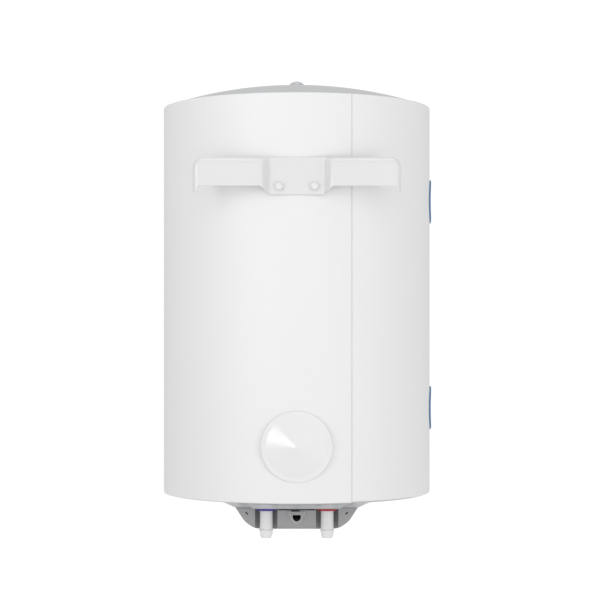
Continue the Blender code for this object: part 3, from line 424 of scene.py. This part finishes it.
def soft_min(a, b, k):
    h = max(k - abs(a - b), 0.0) / k
    return min(a, b) - h * h * k * 0.25


def lid_seen(x, y):
    """Height of the lid's outer face: a shallow dish with a platform at the rear."""
    r = sqrt(x * x + (y - AXIS_Y) ** 2)
    if r <= 108.0:
        base = -24.0
    elif r <= 131.0:
        base = -24.0 + 9.5 * (r - 108.0) / 23.0
    elif r <= 203.0:
        base = -14.5 + 13.0 * (r - 131.0) / 72.0
    else:
        base = -1.5 + 0.5 * (r - 203.0) / 19.0
    if y < AXIS_Y:
        d = max(r - 104.0, 0.0)
    else:
        side = max(abs(x) - 100.3, 0.0)
        rear = max(y - COVER_Y, 0.0)
        d = sqrt(side * side + rear * rear)
        side = max(abs(x) - 70.0, 0.0)
        rear = max(y + 94.5, 0.0)
        d = soft_min(d, sqrt(side * side + rear * rear), 5.0)
        d = max(d, 0.0)
    edge = -15.6 + 0.4 * smooth((abs(x) - 70.0) / 6.0)
    return soft_min(base, edge + 0.46 * d, 2.0)


def build_bottom_lid():
    n, bm = 288, bmesh.new()
    rim = rounded([(221.0, -1.0), (223.3, 0.9), (223.4, 11.9)], 0.6, 3)[1:]
    steps = [83.0 + 138.0 * i / 62 for i in range(63)]
    rings = []
    for r in steps:
        rings.append([(r, None, 0.0)] * n)
    rings += [[(r, h, 0.0)] * n for r, h in rim]
    rings += [[(222.4, 11.9, 0.0)] * n, [(222.2, 1.4, 0.0)] * n]
    for r in reversed(steps[::2]):
        rings.append([(r, None, 1.0)] * n)
    made = []
    for ring in rings:
        row = []
        for i, (r, h, lift) in enumerate(ring):
            a = 2 * pi * i / n
            x, y = r * cos(a), AXIS_Y + r * sin(a)
            row.append(bm.verts.new(w(x, y, (lid_seen(x, y) if h is None else h) + lift)))
        made.append(row)
    for a, b in zip(made, made[1:] + made[:1]):
        for i in range(n):
            j = (i + 1) % n
            bm.faces.new((a[i], a[j], b[j], b[i]))
    return finish_mesh("lid_bottom", bm, M["lid_grey"], "root", ("bottom_lid",),
                       sharp=50.0)


# ------------------------------------------------------------- wall bracket
def smooth(t):
    t = min(1.0, max(0.0, t))
    return t * t * (3 - 2 * t)


BH, TOP_ROLL, END_ROLL = 164.6, 14.7, 9.0
PLATE = 14.7
REC_IN, REC_OUT = 41.5, 56.5


def bracket_rows(x, roll):
    wing = smooth((x - REC_IN) / (REC_OUT - REC_IN))
    corner = max(0.0, x - (BH - 15.0))
    top = 550.0 - (15.0 - sqrt(max(0.0, 225.0 - corner ** 2)))
    if x < REC_OUT + 4.0:
        t = min(1.0, (REC_OUT + 4.0 - x) / (REC_OUT + 4.0 - REC_IN))
        bottom = 504.0 - 13.0 * t ** 1.6
    else:
        bottom = 504.0 - 10.0 * smooth((x - 156.6) / 2.0)
    start = top - TOP_ROLL
    rows = [(bottom + (start - bottom) * k / 12, 0.0) for k in range(13)]
    for k in range(1, 11):
        a = pi / 2 * k / 10
        rows.append((start + TOP_ROLL * sin(a), TOP_ROLL * (1 - cos(a))))
    out = []
    for h, d in rows:
        depth = (1 - wing) * PLATE + wing * d
        out.append((h, sqrt(depth ** 2 + roll ** 2) if roll else depth))
    return out


def build_bracket():
    stations = [(float(x), 0.0) for x in (0, 6, 12, 18, 24, 30, 36, 39.5)]
    stations += [(REC_IN + (REC_OUT + 4.0 - REC_IN) * k / 14, 0.0) for k in range(15)]
    stations += [(float(x), 0.0) for x in (64, 74, 88, 104, 120, 136, 148, 150, 152, 154)]
    for k in range(13):
        a = pi / 2 * k / 12
        stations.append((BH - END_ROLL + END_ROLL * sin(a), END_ROLL * (1 - cos(a))))
    full = [(-x, r) for x, r in reversed(stations[1:])] + stations
    bm = bmesh.new()
    grid = [[bm.verts.new(w(x, -d, h)) for h, d in bracket_rows(abs(x), r)] for x, r in full]
    for a, b in zip(grid, grid[1:]):
        for i in range(len(a) - 1):
            bm.faces.new((a[i], a[i + 1], b[i + 1], b[i]))
    for f in bm.faces:
        f.normal_update()
    if sum(f.normal.y for f in bm.faces) < 0:
        bmesh.ops.reverse_faces(bm, faces=bm.faces)
    mesh = bpy.data.meshes.new("bracket_sheet")
    bm.to_mesh(mesh)
    bm.free()
    obj = bpy.data.objects.new("bracket_sheet", mesh)
    bpy.context.scene.collection.objects.link(obj)
    mesh.materials.append(M["bracket_white"])
    mesh.shade_smooth()
    mod = obj.modifiers.new("sheet", "SOLIDIFY")
    mod.thickness = 3.0 * MM
    mod.offset = -1.0
    mod.use_even_offset = True
    bpy.context.view_layer.update()
    apply_modifiers(obj)
    for x in (-28.0, 28.0):
        boolean(obj, cylinder(w(x, -PLATE, 504.0), 4.6, -12.0, 12.0, 40, "Y"))
    obj.data.shade_smooth()
    obj.data.set_sharp_from_angle(angle=radians(42.0))
    add_bevel(obj, 0.7, 55.0, 3)
    settle(obj, "root", ("wall_bracket",))
    return obj


build_bracket()
build_bottom_lid()

for side, x in (("left", 28.0), ("right", -28.0)):
    washer = rounded([(4.6, -13.3), (7.7, -13.3), (7.9, -14.35), (4.6, -14.35)], 0.25, 3)
    finish_mesh("fixing_washer_" + side, turned(washer, 56, w(x, 0.0, 504.0), "Y"),
                M["fastener_white"], "root", ("bracket_washer_" + side,))

    def hexagon(r, h, a, k):
        if k in HEX_ROWS:
            step = (a % (pi / 3)) - pi / 6
            return min(r * cos(pi / 6) / cos(step), r * 0.985), h
        return r, h

    bolt = [(0.0, -7.6), (4.9, -7.6), (5.9, -8.0), (6.2, -8.5), (6.2, -11.6), (6.6, -12.0),
            (6.6, -13.1), (4.0, -13.1), (4.0, -37.4), (0.0, -37.4)]
    HEX_ROWS = (2, 3, 4)
    finish_mesh("fixing_bolt_" + side,
                turned(bolt, 72, w(x, 0.0, 504.0), "Y", shape=hexagon),
                M["fastener_white"], "root", ("bracket_bolt_" + side,), sharp=25.0)

# ---------------------------------------------------------- rear spacer cap
def shell_back(x, lift):
    return AXIS_Y + sqrt((SHELL_R + lift) ** 2 - x * x)


def build_spacer():
    top = [(0.0, 0.0)]
    for k in range(1, 7):
        a = k / 6
        top.append((3.6 * a, -0.15 - 0.75 * a * a))
    rise = (48.0 - 3.6)
    for k in range(1, 15):
        t = k / 14
        top.append((3.6 + rise * t, -0.9 - 14.45 * t - 0.25 * sin(pi * t)))
    top += [(48.8, -15.62), (49.8, -15.86), (52.5, -15.95), (55.4, -16.0), (56.3, -16.15),
            (56.8, -16.55), (57.0, -17.1)]
    segments = 128
    bm = bmesh.new()
    rings = []
    c = w(0.0, 0.0, SPACER_H)
    for r, y in top:
        if r == 0.0:
            rings.append([bm.verts.new(c + Vector((0, y * MM, 0)))])
        else:
            rings.append([bm.verts.new(c + Vector((r * cos(2 * pi * i / segments) * MM, y * MM,
                                                   r * sin(2 * pi * i / segments) * MM)))
                          for i in range(segments)])
    for r, lift in ((57.0, 0.35), (55.2, 0.35)):
        rings.append([])
        for i in range(segments):
            x = r * cos(2 * pi * i / segments)
            rings[-1].append(bm.verts.new(c + Vector((
                x * MM, min(-17.3, shell_back(x, lift)) * MM, r * sin(2 * pi * i / segments) * MM))))
    for r, y in ((55.2, -17.25), (48.0, -17.2), (4.0, -3.4), (0.0, -2.6)):
        if r == 0.0:
            rings.append([bm.verts.new(c + Vector((0, y * MM, 0)))])
        else:
            rings.append([bm.verts.new(c + Vector((r * cos(2 * pi * i / segments) * MM, y * MM,
                                                   r * sin(2 * pi * i / segments) * MM)))
                          for i in range(segments)])
    n = segments
    for a, b in zip(rings, rings[1:]):
        for i in range(n):
            j = (i + 1) % n
            if len(a) == 1:
                bm.faces.new((a[0], b[i], b[j]))
            elif len(b) == 1:
                bm.faces.new((b[0], a[j], a[i]))
            else:
                bm.faces.new((a[i], a[j], b[j], b[i]))
    return finish_mesh("spacer_cone", bm, M["white_plastic"], "root", ("rear_spacer_cap",),
                       sharp=40.0)


build_spacer()


# ---------------------------------------------------------------- port caps
def build_port_cap(name, h, node):
    section = [(0.0, 0.9), (6.0, 0.9), (12.0, 0.92), (18.0, 0.96), (24.0, 1.02), (29.0, 1.12)]
    section += rounded([(29.5, 1.14), (32.4, 1.3), (34.3, 2.6), (36.0, 2.75), (36.95, 1.9),
                        (37.0, 0.4)], [0, 1.2, 0.8, 0.8, 0.6, 0], 4)
    section += [(29.0, 0.38), (29.0, -7.4), (28.4, -8.0), (27.2, -8.0), (27.0, -0.6), (0.0, -0.6)]
    n = 112
    bm = bmesh.new()
    rings = []
    for rho, lift in section:
        ring = []
        for i in range(n if rho else 1):
            a = 2 * pi * i / n
            dy = rho * cos(a)
            x = -sqrt((SHELL_R + lift) ** 2 - dy * dy)
            ring.append(bm.verts.new(w(x, AXIS_Y + dy, h + rho * sin(a))))
        rings.append(ring)
    for a, b in zip(rings, rings[1:]):
        for i in range(n):
            j = (i + 1) % n
            if len(a) == 1:
                bm.faces.new((a[0], b[i], b[j]))
            elif len(b) == 1:
                bm.faces.new((b[0], a[j], a[i]))
            else:
                bm.faces.new((a[i], a[j], b[j], b[i]))
    return finish_mesh(name, bm, M["blue_plastic"], node, (node,))


build_port_cap("blue_cap_lower", PORT_LOW, "port_cap_lower")
build_port_cap("blue_cap_upper", PORT_HIGH, "port_cap_upper")

# ------------------------------------------------- nipples, rings, end caps
for side, word, node, top in ((1, "cold", "cold_inlet_nipple", 46.0),
                              (-1, "hot", "hot_outlet_nipple", 614.0)):
    at = w(side * PIPE_X, PIPE_Y, 0.0)
    wall = [(PIPE_R, top), (PIPE_R, 0.0), (PIPE_R, -30.0), (PIPE_R, -49.6)]
    h = -50.0
    while h > -54.6:                         # the thread's crests and roots
        wall += [(PIPE_R, h), (PIPE_R - 0.05, h - 0.3), (PIPE_R - 0.75, h - 0.9),
                 (PIPE_R - 0.05, h - 1.5)]
        h -= 1.81
    wall += [(PIPE_R - 0.1, -55.2), (PIPE_R - 0.8, -55.9), (8.4, -55.95), (8.0, -55.6), (8.0, top)]
    finish_mesh("nipple_" + word, turned(wall, 56, at), M["pipe_white"], "root", (node,))

    def under(r, hh, a, k):
        if k in (0, 1, len(RING) - 1):
            x = side * PIPE_X + r * cos(a)
            y = PIPE_Y + r * sin(a) - AXIS_Y
            return r, min(hh, lid_seen(x, y + AXIS_Y) - 0.25)
        return r, hh

    RING = [(15.3, -14.0), (15.7, -14.3), (15.7, -18.4), (15.5, -18.9), (15.0, -19.1),
            (11.1, -19.1), (10.8, -18.8), (10.8, -14.0)]
    finish_mesh("ring_" + word, turned(RING, 72, at, shape=under),
                M["cold_blue" if side > 0 else "hot_red"], "root", (word + "_ring",),
                sharp=40.0)

    cap = [(0.0, -56.95), (5.8, -56.95), (5.8, -52.0), (6.1, -51.6), (7.2, -51.6), (7.5, -52.0),
           (7.5, -56.5), (10.75, -56.5), (10.75, -50.75)]
    cap += rounded([(10.8, -50.72), (11.3, -50.75), (11.25, -53.0), (11.05, -56.2),
                    (10.3, -59.8), (9.2, -62.6), (7.9, -64.55), (5.5, -64.6)],
                   [0, 0.25, 0, 3.0, 3.0, 2.0, 1.4, 0], 5)
    cap += [(3.0, -64.45), (0.0, -64.4)]
    finish_mesh("endcap_" + word, turned(cap, 64, at), M["white_plastic"], word + "_cap",
                (word + "_cap",), sharp=45.0)


# ------------------------------------------------------------- bottom cover
COVER_SIDE = [(-15.4, 100.3), (-19.5, 97.5), (-22.8, 95.4), (-27.7, 92.3), (-32.6, 89.0),
              (-35.9, 86.5), (-39.2, 83.3), (-42.5, 79.2), (-45.7, 74.6), (-47.4, 72.0),
              (-49.0, 68.5), (-50.3, 63.4), (-50.85, 59.5), (-51.0, 55.0)]
FILLET = 51.0 - 37.6


def side_curve(t):
    """Catmull-Rom through the side profile; t from 0 to 1."""
    n = len(COVER_SIDE) - 1
    f = min(t * n, n - 1e-6)
    i = int(f)
    u = f - i
    p = [COVER_SIDE[max(0, min(n, i + k - 1))] for k in range(4)]
    out = []
    for c in range(2):
        a, b, d, e = (q[c] for q in p)
        out.append(0.5 * (2 * b + (d - a) * u + (2 * a - 5 * b + 4 * d - e) * u * u
                          + (3 * b - a - 3 * d + e) * u ** 3))
    return out


def cover_levels(inset):
    steps = 34
    base = [side_curve(i / steps) for i in range(steps + 1)]
    rows = []
    for i, (h, half) in enumerate(base):
        a, b = base[max(0, i - 1)], base[min(steps, i + 1)]
        dh, dw = b[0] - a[0], b[1] - a[1]
        length = sqrt(dh * dh + dw * dw)
        nh, nw = dw / length, -dh / length
        if i == steps:
            nh, nw = -1.0, 0.0
        rows.append((h - inset * nh, half - inset * nw))
    if inset:
        first_h, first_w = rows[0]
        rows[0] = (-5.0, first_w + (first_h + 5.0) * -0.66)
        kept = [rows[0]]
        for row in rows[1:]:
            if row[0] < kept[-1][0] - 1e-3 and row[1] < kept[-1][1]:
                kept.append(row)
        rows = kept
    return rows


def cover_rear(h, inset):
    y = COVER_Y - inset
    if h >= -37.6:
        return y
    r = FILLET - inset
    return y - (r - sqrt(max(0.0, r * r - (-37.6 - h) ** 2)))


def cover_ring(h, half, inset):
    y = cover_rear(h, inset)
    front = half + 3.7
    c = 3.2
    pts = []
    for k in range(6):
        a = pi / 2 * k / 5
        pts.append((half - c + c * sin(a), y - c + c * cos(a)))
    for k in range(1, 6):
        t = k / 6
        pts.append((half + (front - half) * smooth(t), y - c + (AXIS_Y - (y - c)) * t))
    for i in range(61):
        a = pi * i / 60
        pts.append((front * cos(a), AXIS_Y - front * sin(a)))
    for k in range(5, 0, -1):
        t = k / 6
        pts.append((-(half + (front - half) * smooth(t)), y - c + (AXIS_Y - (y - c)) * t))
    for k in range(5, -1, -1):
        a = pi / 2 * k / 5
        pts.append((-(half - c + c * sin(a)), y - c + c * cos(a)))
    return [w(px, py, h) for px, py in pts]


def cover_loft(name, inset):
    bm = bmesh.new()
    made = [[bm.verts.new(p) for p in cover_ring(h, half, inset)]
            for h, half in cover_levels(inset)]
    n = len(made[0])
    for a, b in zip(made, made[1:]):
        for i in range(n):
            j = (i + 1) % n
            bm.faces.new((a[i], a[j], b[j], b[i]))
    bm.faces.new(made[0])
    bm.faces.new(list(reversed(made[-1])))
    return finish_mesh(name, bm, None, None, helper=True)


def d_outline(half, top, mid, low, steps=14):
    pts = [(half, top), (half, mid)]
    for i in range(1, steps):
        a = -pi * i / steps
        pts.append((half * cos(a), mid + (mid - low) * sin(a)))
    return pts + [(-half, mid), (-half, top)]


cover = cover_loft("cover_moulding", 0.0)
boss = [(13.5, -21.4), (13.5, -25.4), (12.6, -26.6), (10.6, -27.6), (9.8, -29.0)]
for i in range(1, 20):
    a = -pi * i / 20
    boss.append((9.8 * cos(a), -31.1 + 9.8 * sin(a)))
boss += [(-9.8, -29.0), (-10.6, -27.6), (-12.6, -26.6), (-13.5, -25.4), (-13.5, -21.4)]
boolean(cover, prism(boss, -110.4, -113.4), "UNION")
for x in (-PIPE_X, PIPE_X):
    boolean(cover, cylinder(w(x, PIPE_Y, 0.0), 18.5, -75.0, 0.0, 64))
inside = cover_loft("helper_inside", 2.5)
for x in (-PIPE_X, PIPE_X):
    boolean(inside, cylinder(w(x, PIPE_Y, 0.0), 21.0, -75.0, 10.0, 64))
for x in (-40.0, 40.0):
    boolean(inside, cylinder(w(x, -161.0, 0.0), 5.0, -60.0, -32.0, 32))
for x in (-12.0, 12.0):
    boolean(inside, cylinder(w(x, -134.0, 0.0), 3.6, -60.0, -41.0, 24))
boolean(cover, inside)
boolean(cover, finish_mesh("helper_lid", turned(
    [(0.0, 20.0), (235.0, 20.0), (235.0, 0.6), (132.0, -16.6), (108.0, -24.6), (0.0, -24.6)],
    96, AXIS, closed=False), None, None, helper=True))
boolean(cover, prism([(-31.0, -10.0), (31.0, -10.0), (31.0, -19.2), (9.0, -19.2),
                      (9.0, -21.2), (-5.0, -21.2), (-5.0, -19.2), (-31.0, -19.2)],
                     -100.0, -118.0))
boolean(cover, prism(d_outline(6.5, -26.8, -30.6, -37.2), -105.0, -120.0))
for side in (-1, 1):
    c, s_ = cos(radians(45.0)), sin(radians(45.0))
    pts = []
    for k in range(16):
        a = 2 * pi * k / 16
        u = (1.7 if cos(a) > 0 else -1.7) + 1.0 * cos(a)
        v = 1.0 * sin(a)
        pts.append((side * (82.0 + u * c - v * s_), -24.0 + u * s_ + v * c))
    if side < 0:
        pts.reverse()
    boolean(cover, prism(pts, -105.0, -120.0))
boolean(cover, cylinder(w(0.0, KNOB_Y, 0.0), 4.2, -60.0, -44.0, 40))
boolean(cover, cylinder(w(32.0, -225.0, 0.0), 3.6, -60.0, -44.0, 40))
for x in (-40.0, 40.0):
    boolean(cover, cylinder(w(x, -161.0, 0.0), 2.6, -60.0, -28.0, 24))
cover.data.materials.clear()
cover.data.materials.append(M["cover_grey"])
cover.data.shade_smooth()
cover.data.set_sharp_from_angle(angle=radians(34.0))
settle(cover, "root", ("bottom_cover",))

def bead(name, points, r, y, mat):
    """A rounded rib that follows an open line of (x, height) points on a wall."""
    bm, sides, rows = bmesh.new(), 10, []
    for i, (x, h) in enumerate(points):
        a, b = points[max(0, i - 1)], points[min(len(points) - 1, i + 1)]
        dx, dh = b[0] - a[0], b[1] - a[1]
        length = sqrt(dx * dx + dh * dh)
        nx, nh = -dh / length, dx / length
        rows.append([bm.verts.new(w(x + nx * r * cos(2 * pi * k / sides),
                                    y + r * sin(2 * pi * k / sides),
                                    h + nh * r * cos(2 * pi * k / sides)))
                     for k in range(sides)])
    for a, b in zip(rows, rows[1:]):
        for k in range(sides):
            m = (k + 1) % sides
            bm.faces.new((a[k], a[m], b[m], b[k]))
    bm.faces.new(rows[0])
    bm.faces.new(list(reversed(rows[-1])))
    return finish_mesh(name, bm, mat, "root", (), sharp=60.0)


# Ribs round the outlet boss and its hole, in the lighter grey that paints a highlight along the
# outline.
line = [(13.0, -21.8), (13.0, -25.2), (12.2, -26.3), (10.3, -27.4), (9.5, -29.2)]
for i in range(1, 24):
    a = -pi * i / 24
    line.append((9.4 * cos(a), -31.1 + 9.4 * sin(a)))
line += [(-9.5, -29.2), (-10.3, -27.4), (-12.2, -26.3), (-13.0, -25.2), (-13.0, -21.8)]
bead("outlet_boss_rib", line, 0.66, -110.35, M["cover_edge"])
rim_line = [(-7.2, -26.3), (7.2, -26.3), (7.35, -28.5), (7.35, -30.6)]
for i in range(1, 20):
    a = -pi * i / 20
    rim_line.append((7.35 * cos(a), -30.6 + 7.4 * sin(a)))
rim_line += [(-7.35, -30.6), (-7.35, -28.5), (-7.2, -26.3)]
bead("outlet_rim_rib", rim_line, 0.45, -110.35, M["cover_edge"])

for side, x in (("left", 40.0), ("right", -40.0)):
    head = [(0.0, -52.0), (0.7, -52.0), (0.9, -53.5), (2.2, -53.6), (3.4, -53.2), (4.0, -52.4),
            (4.1, -51.5), (4.0, -51.3), (2.0, -51.3), (2.0, -19.6), (0.0, -19.6)]
    screw = finish_mesh("screw_" + side, turned(head, 40, w(x, -161.0, 0.0)), M["zinc"],
                        "root", ("cover_screw_" + side,))

# -------------------------------------------------------- knob, lens, pointer
def grip(r, h, a, k):
    if k in GRIP_ROWS:
        return r - 0.45 * (0.5 - 0.5 * cos(28 * a)), h
    return r, h


knob = [(0.0, -61.7)] + rounded([(4.0, -61.75), (18.6, -61.9), (21.0, -61.0), (21.8, -58.5),
                                 (22.8, -53.4), (22.95, -51.95)], [0, 0, 1.6, 1.0, 0, 0], 5)
GRIP_ROWS = tuple(range(len(knob) - 10, len(knob) - 1))
knob += [(21.5, -51.95), (20.4, -58.4), (5.2, -59.2), (5.2, -52.0), (3.4, -52.0), (3.4, -59.7),
         (0.0, -59.7)]
knob_at = w(0.0, KNOB_Y, 0.0)
finish_mesh("dial_knob", turned(knob, 168, knob_at, shape=grip), M["white_plastic"], "knob",
            ("control_knob",), sharp=50.0)
bm = bmesh.new()
made = bmesh.ops.create_cube(bm, size=1.0)
for v in made["verts"]:
    v.co = knob_at + Vector((v.co.x * 1.5, -12.5 + v.co.y * 10.0, -61.75 + v.co.z * 0.4)) * MM
finish_mesh("dial_pointer", bm, DARK, "knob", (), bevel=0.12)

bm = bmesh.new()
for k in range(9):
    turn = Matrix.Rotation(radians(-135.0 + 33.75 * k), 3, "Z")
    long = 4.2 if k in (0, 4, 8) else 2.6
    for v in bmesh.ops.create_cube(bm, size=1.0)["verts"]:
        v.co = knob_at + turn @ Vector((v.co.x * 0.9, -25.2 - long / 2 + v.co.y * long,
                                        -51.0 + v.co.z * 0.3)) * MM
finish_mesh("dial_marks", bm, DARK, "root", (), bevel=0.1)

lens = [(0.0, -52.55), (1.6, -52.5), (3.0, -52.2), (4.1, -51.8), (4.55, -51.5), (4.55, -51.3),
        (3.3, -51.3), (3.3, -47.1), (2.5, -47.1), (2.5, -50.2), (0.0, -50.6)]
finish_mesh("lamp_window", turned(lens, 48, w(32.0, -225.0, 0.0)), M["lens_amber"], "root",
            ("indicator_lens",))

# --------------------------------------------------- finishes of CAD pieces
SLOT = {s["node"]: s["material_slot"] for s in RECORD["subparts"]}
SLOT["cable_clamp"] = "black_plastic"
for name, obj in frame["nodes"].items():
    mat = M.get(SLOT.get(name))
    if mat is None:
        continue
    for i in range(max(1, len(obj.data.materials))):
        if len(obj.data.materials) == 0:
            obj.data.materials.append(mat)
        else:
            obj.data.materials[i] = mat

# ------------------------------------------------------ camera, floor, light
cam_data = bpy.data.cameras.new("camera")
cam = bpy.data.objects.new("camera", cam_data)
bpy.context.scene.collection.objects.link(cam)
cam.location = (0.0, 2.855, -0.2342)
cam.rotation_euler = (pi / 2, 0.0, pi)
cam_data.sensor_width = 36.0
cam_data.lens = 108.6
cam_data.shift_x = 0.0055
cam_data.shift_y = 34.0 / 600.0
cam_data.clip_end = 100.0
bpy.context.scene.camera = cam

bm = bmesh.new()
bmesh.ops.create_grid(bm, x_segments=8, y_segments=8, size=16.0)
floor_mesh = bpy.data.meshes.new("floor")
bm.to_mesh(floor_mesh)
bm.free()
floor = bpy.data.objects.new("floor", floor_mesh)
floor.location = (0.0, 0.0, -2.3)
bpy.context.scene.collection.objects.link(floor)
floor_mesh.materials.append(surface("floor_pale", (0.86, 0.86, 0.86), 0.7, tint=0.01,
                                    fine=60.0, bump=0.02, distance=0.001, big=0.4))
nt = floor_mesh.materials[0].node_tree
far = nt.nodes.new("ShaderNodeVectorMath")
far.operation = "LENGTH"
nt.links.new(nt.nodes.new("ShaderNodeTexCoord").outputs["Object"], far.inputs[0])
nt.links.new(ramp(nt, far.outputs["Value"], 0.0, 0.62, 2.2, 6.0),
             nt.nodes["Principled BSDF"].inputs["Emission Strength"])
nt.nodes["Principled BSDF"].inputs["Emission Color"].default_value = (1.0, 1.0, 1.0, 1.0)

world = bpy.data.worlds.new("studio")
bpy.context.scene.world = world
world.use_nodes = True
wt = world.node_tree
bg = wt.nodes["Background"]
bg.inputs["Color"].default_value = (1.0, 1.0, 1.0, 1.0)
bg.inputs["Strength"].default_value = 0.60
seen = wt.nodes.new("ShaderNodeBackground")
seen.inputs["Color"].default_value = (1.0, 1.0, 1.0, 1.0)
seen.inputs["Strength"].default_value = 1.05
which = wt.nodes.new("ShaderNodeLightPath")
both = wt.nodes.new("ShaderNodeMixShader")
wt.links.new(which.outputs["Is Camera Ray"], both.inputs["Fac"])
wt.links.new(bg.outputs["Background"], both.inputs[1])
wt.links.new(seen.outputs["Background"], both.inputs[2])
wt.links.new(both.outputs["Shader"], wt.nodes["World Output"].inputs["Surface"])


def softbox(name, at, aim, size_x, size_y, power, glossy=True, diffuse=True):
    data = bpy.data.lights.new(name, "AREA")
    data.shape = "RECTANGLE"
    data.size, data.size_y = size_x, size_y
    data.energy = power
    obj = bpy.data.objects.new(name, data)
    bpy.context.scene.collection.objects.link(obj)
    obj.location = at
    obj.visible_glossy = glossy
    obj.visible_diffuse = diffuse
    obj.rotation_euler = (Vector(aim) - Vector(at)).to_track_quat("-Z", "Y").to_euler()
    return obj


softbox("key_rear", (-0.65, 3.3, 1.2), (0.0, -0.245, -0.2), 3.6, 3.4, 23.0)
softbox("strip_left", (1.62, 2.05, 0.35), (0.0, -0.05, -0.2), 1.0, 1.9, 13.0)
softbox("fill_right", (-1.75, 2.1, -0.4), (0.0, -0.2, -0.2), 1.0, 1.6, 10.0, glossy=False)
softbox("gloss_left", (1.62, 2.05, 0.45), (0.0, -0.05, -0.2), 0.9, 1.5, 12.0, diffuse=False)
softbox("top", (0.0, -0.2, 2.7), (0.0, -0.245, 0.2), 1.6, 1.6, 14.0)

bpy.context.scene.view_settings.view_transform = "Standard"
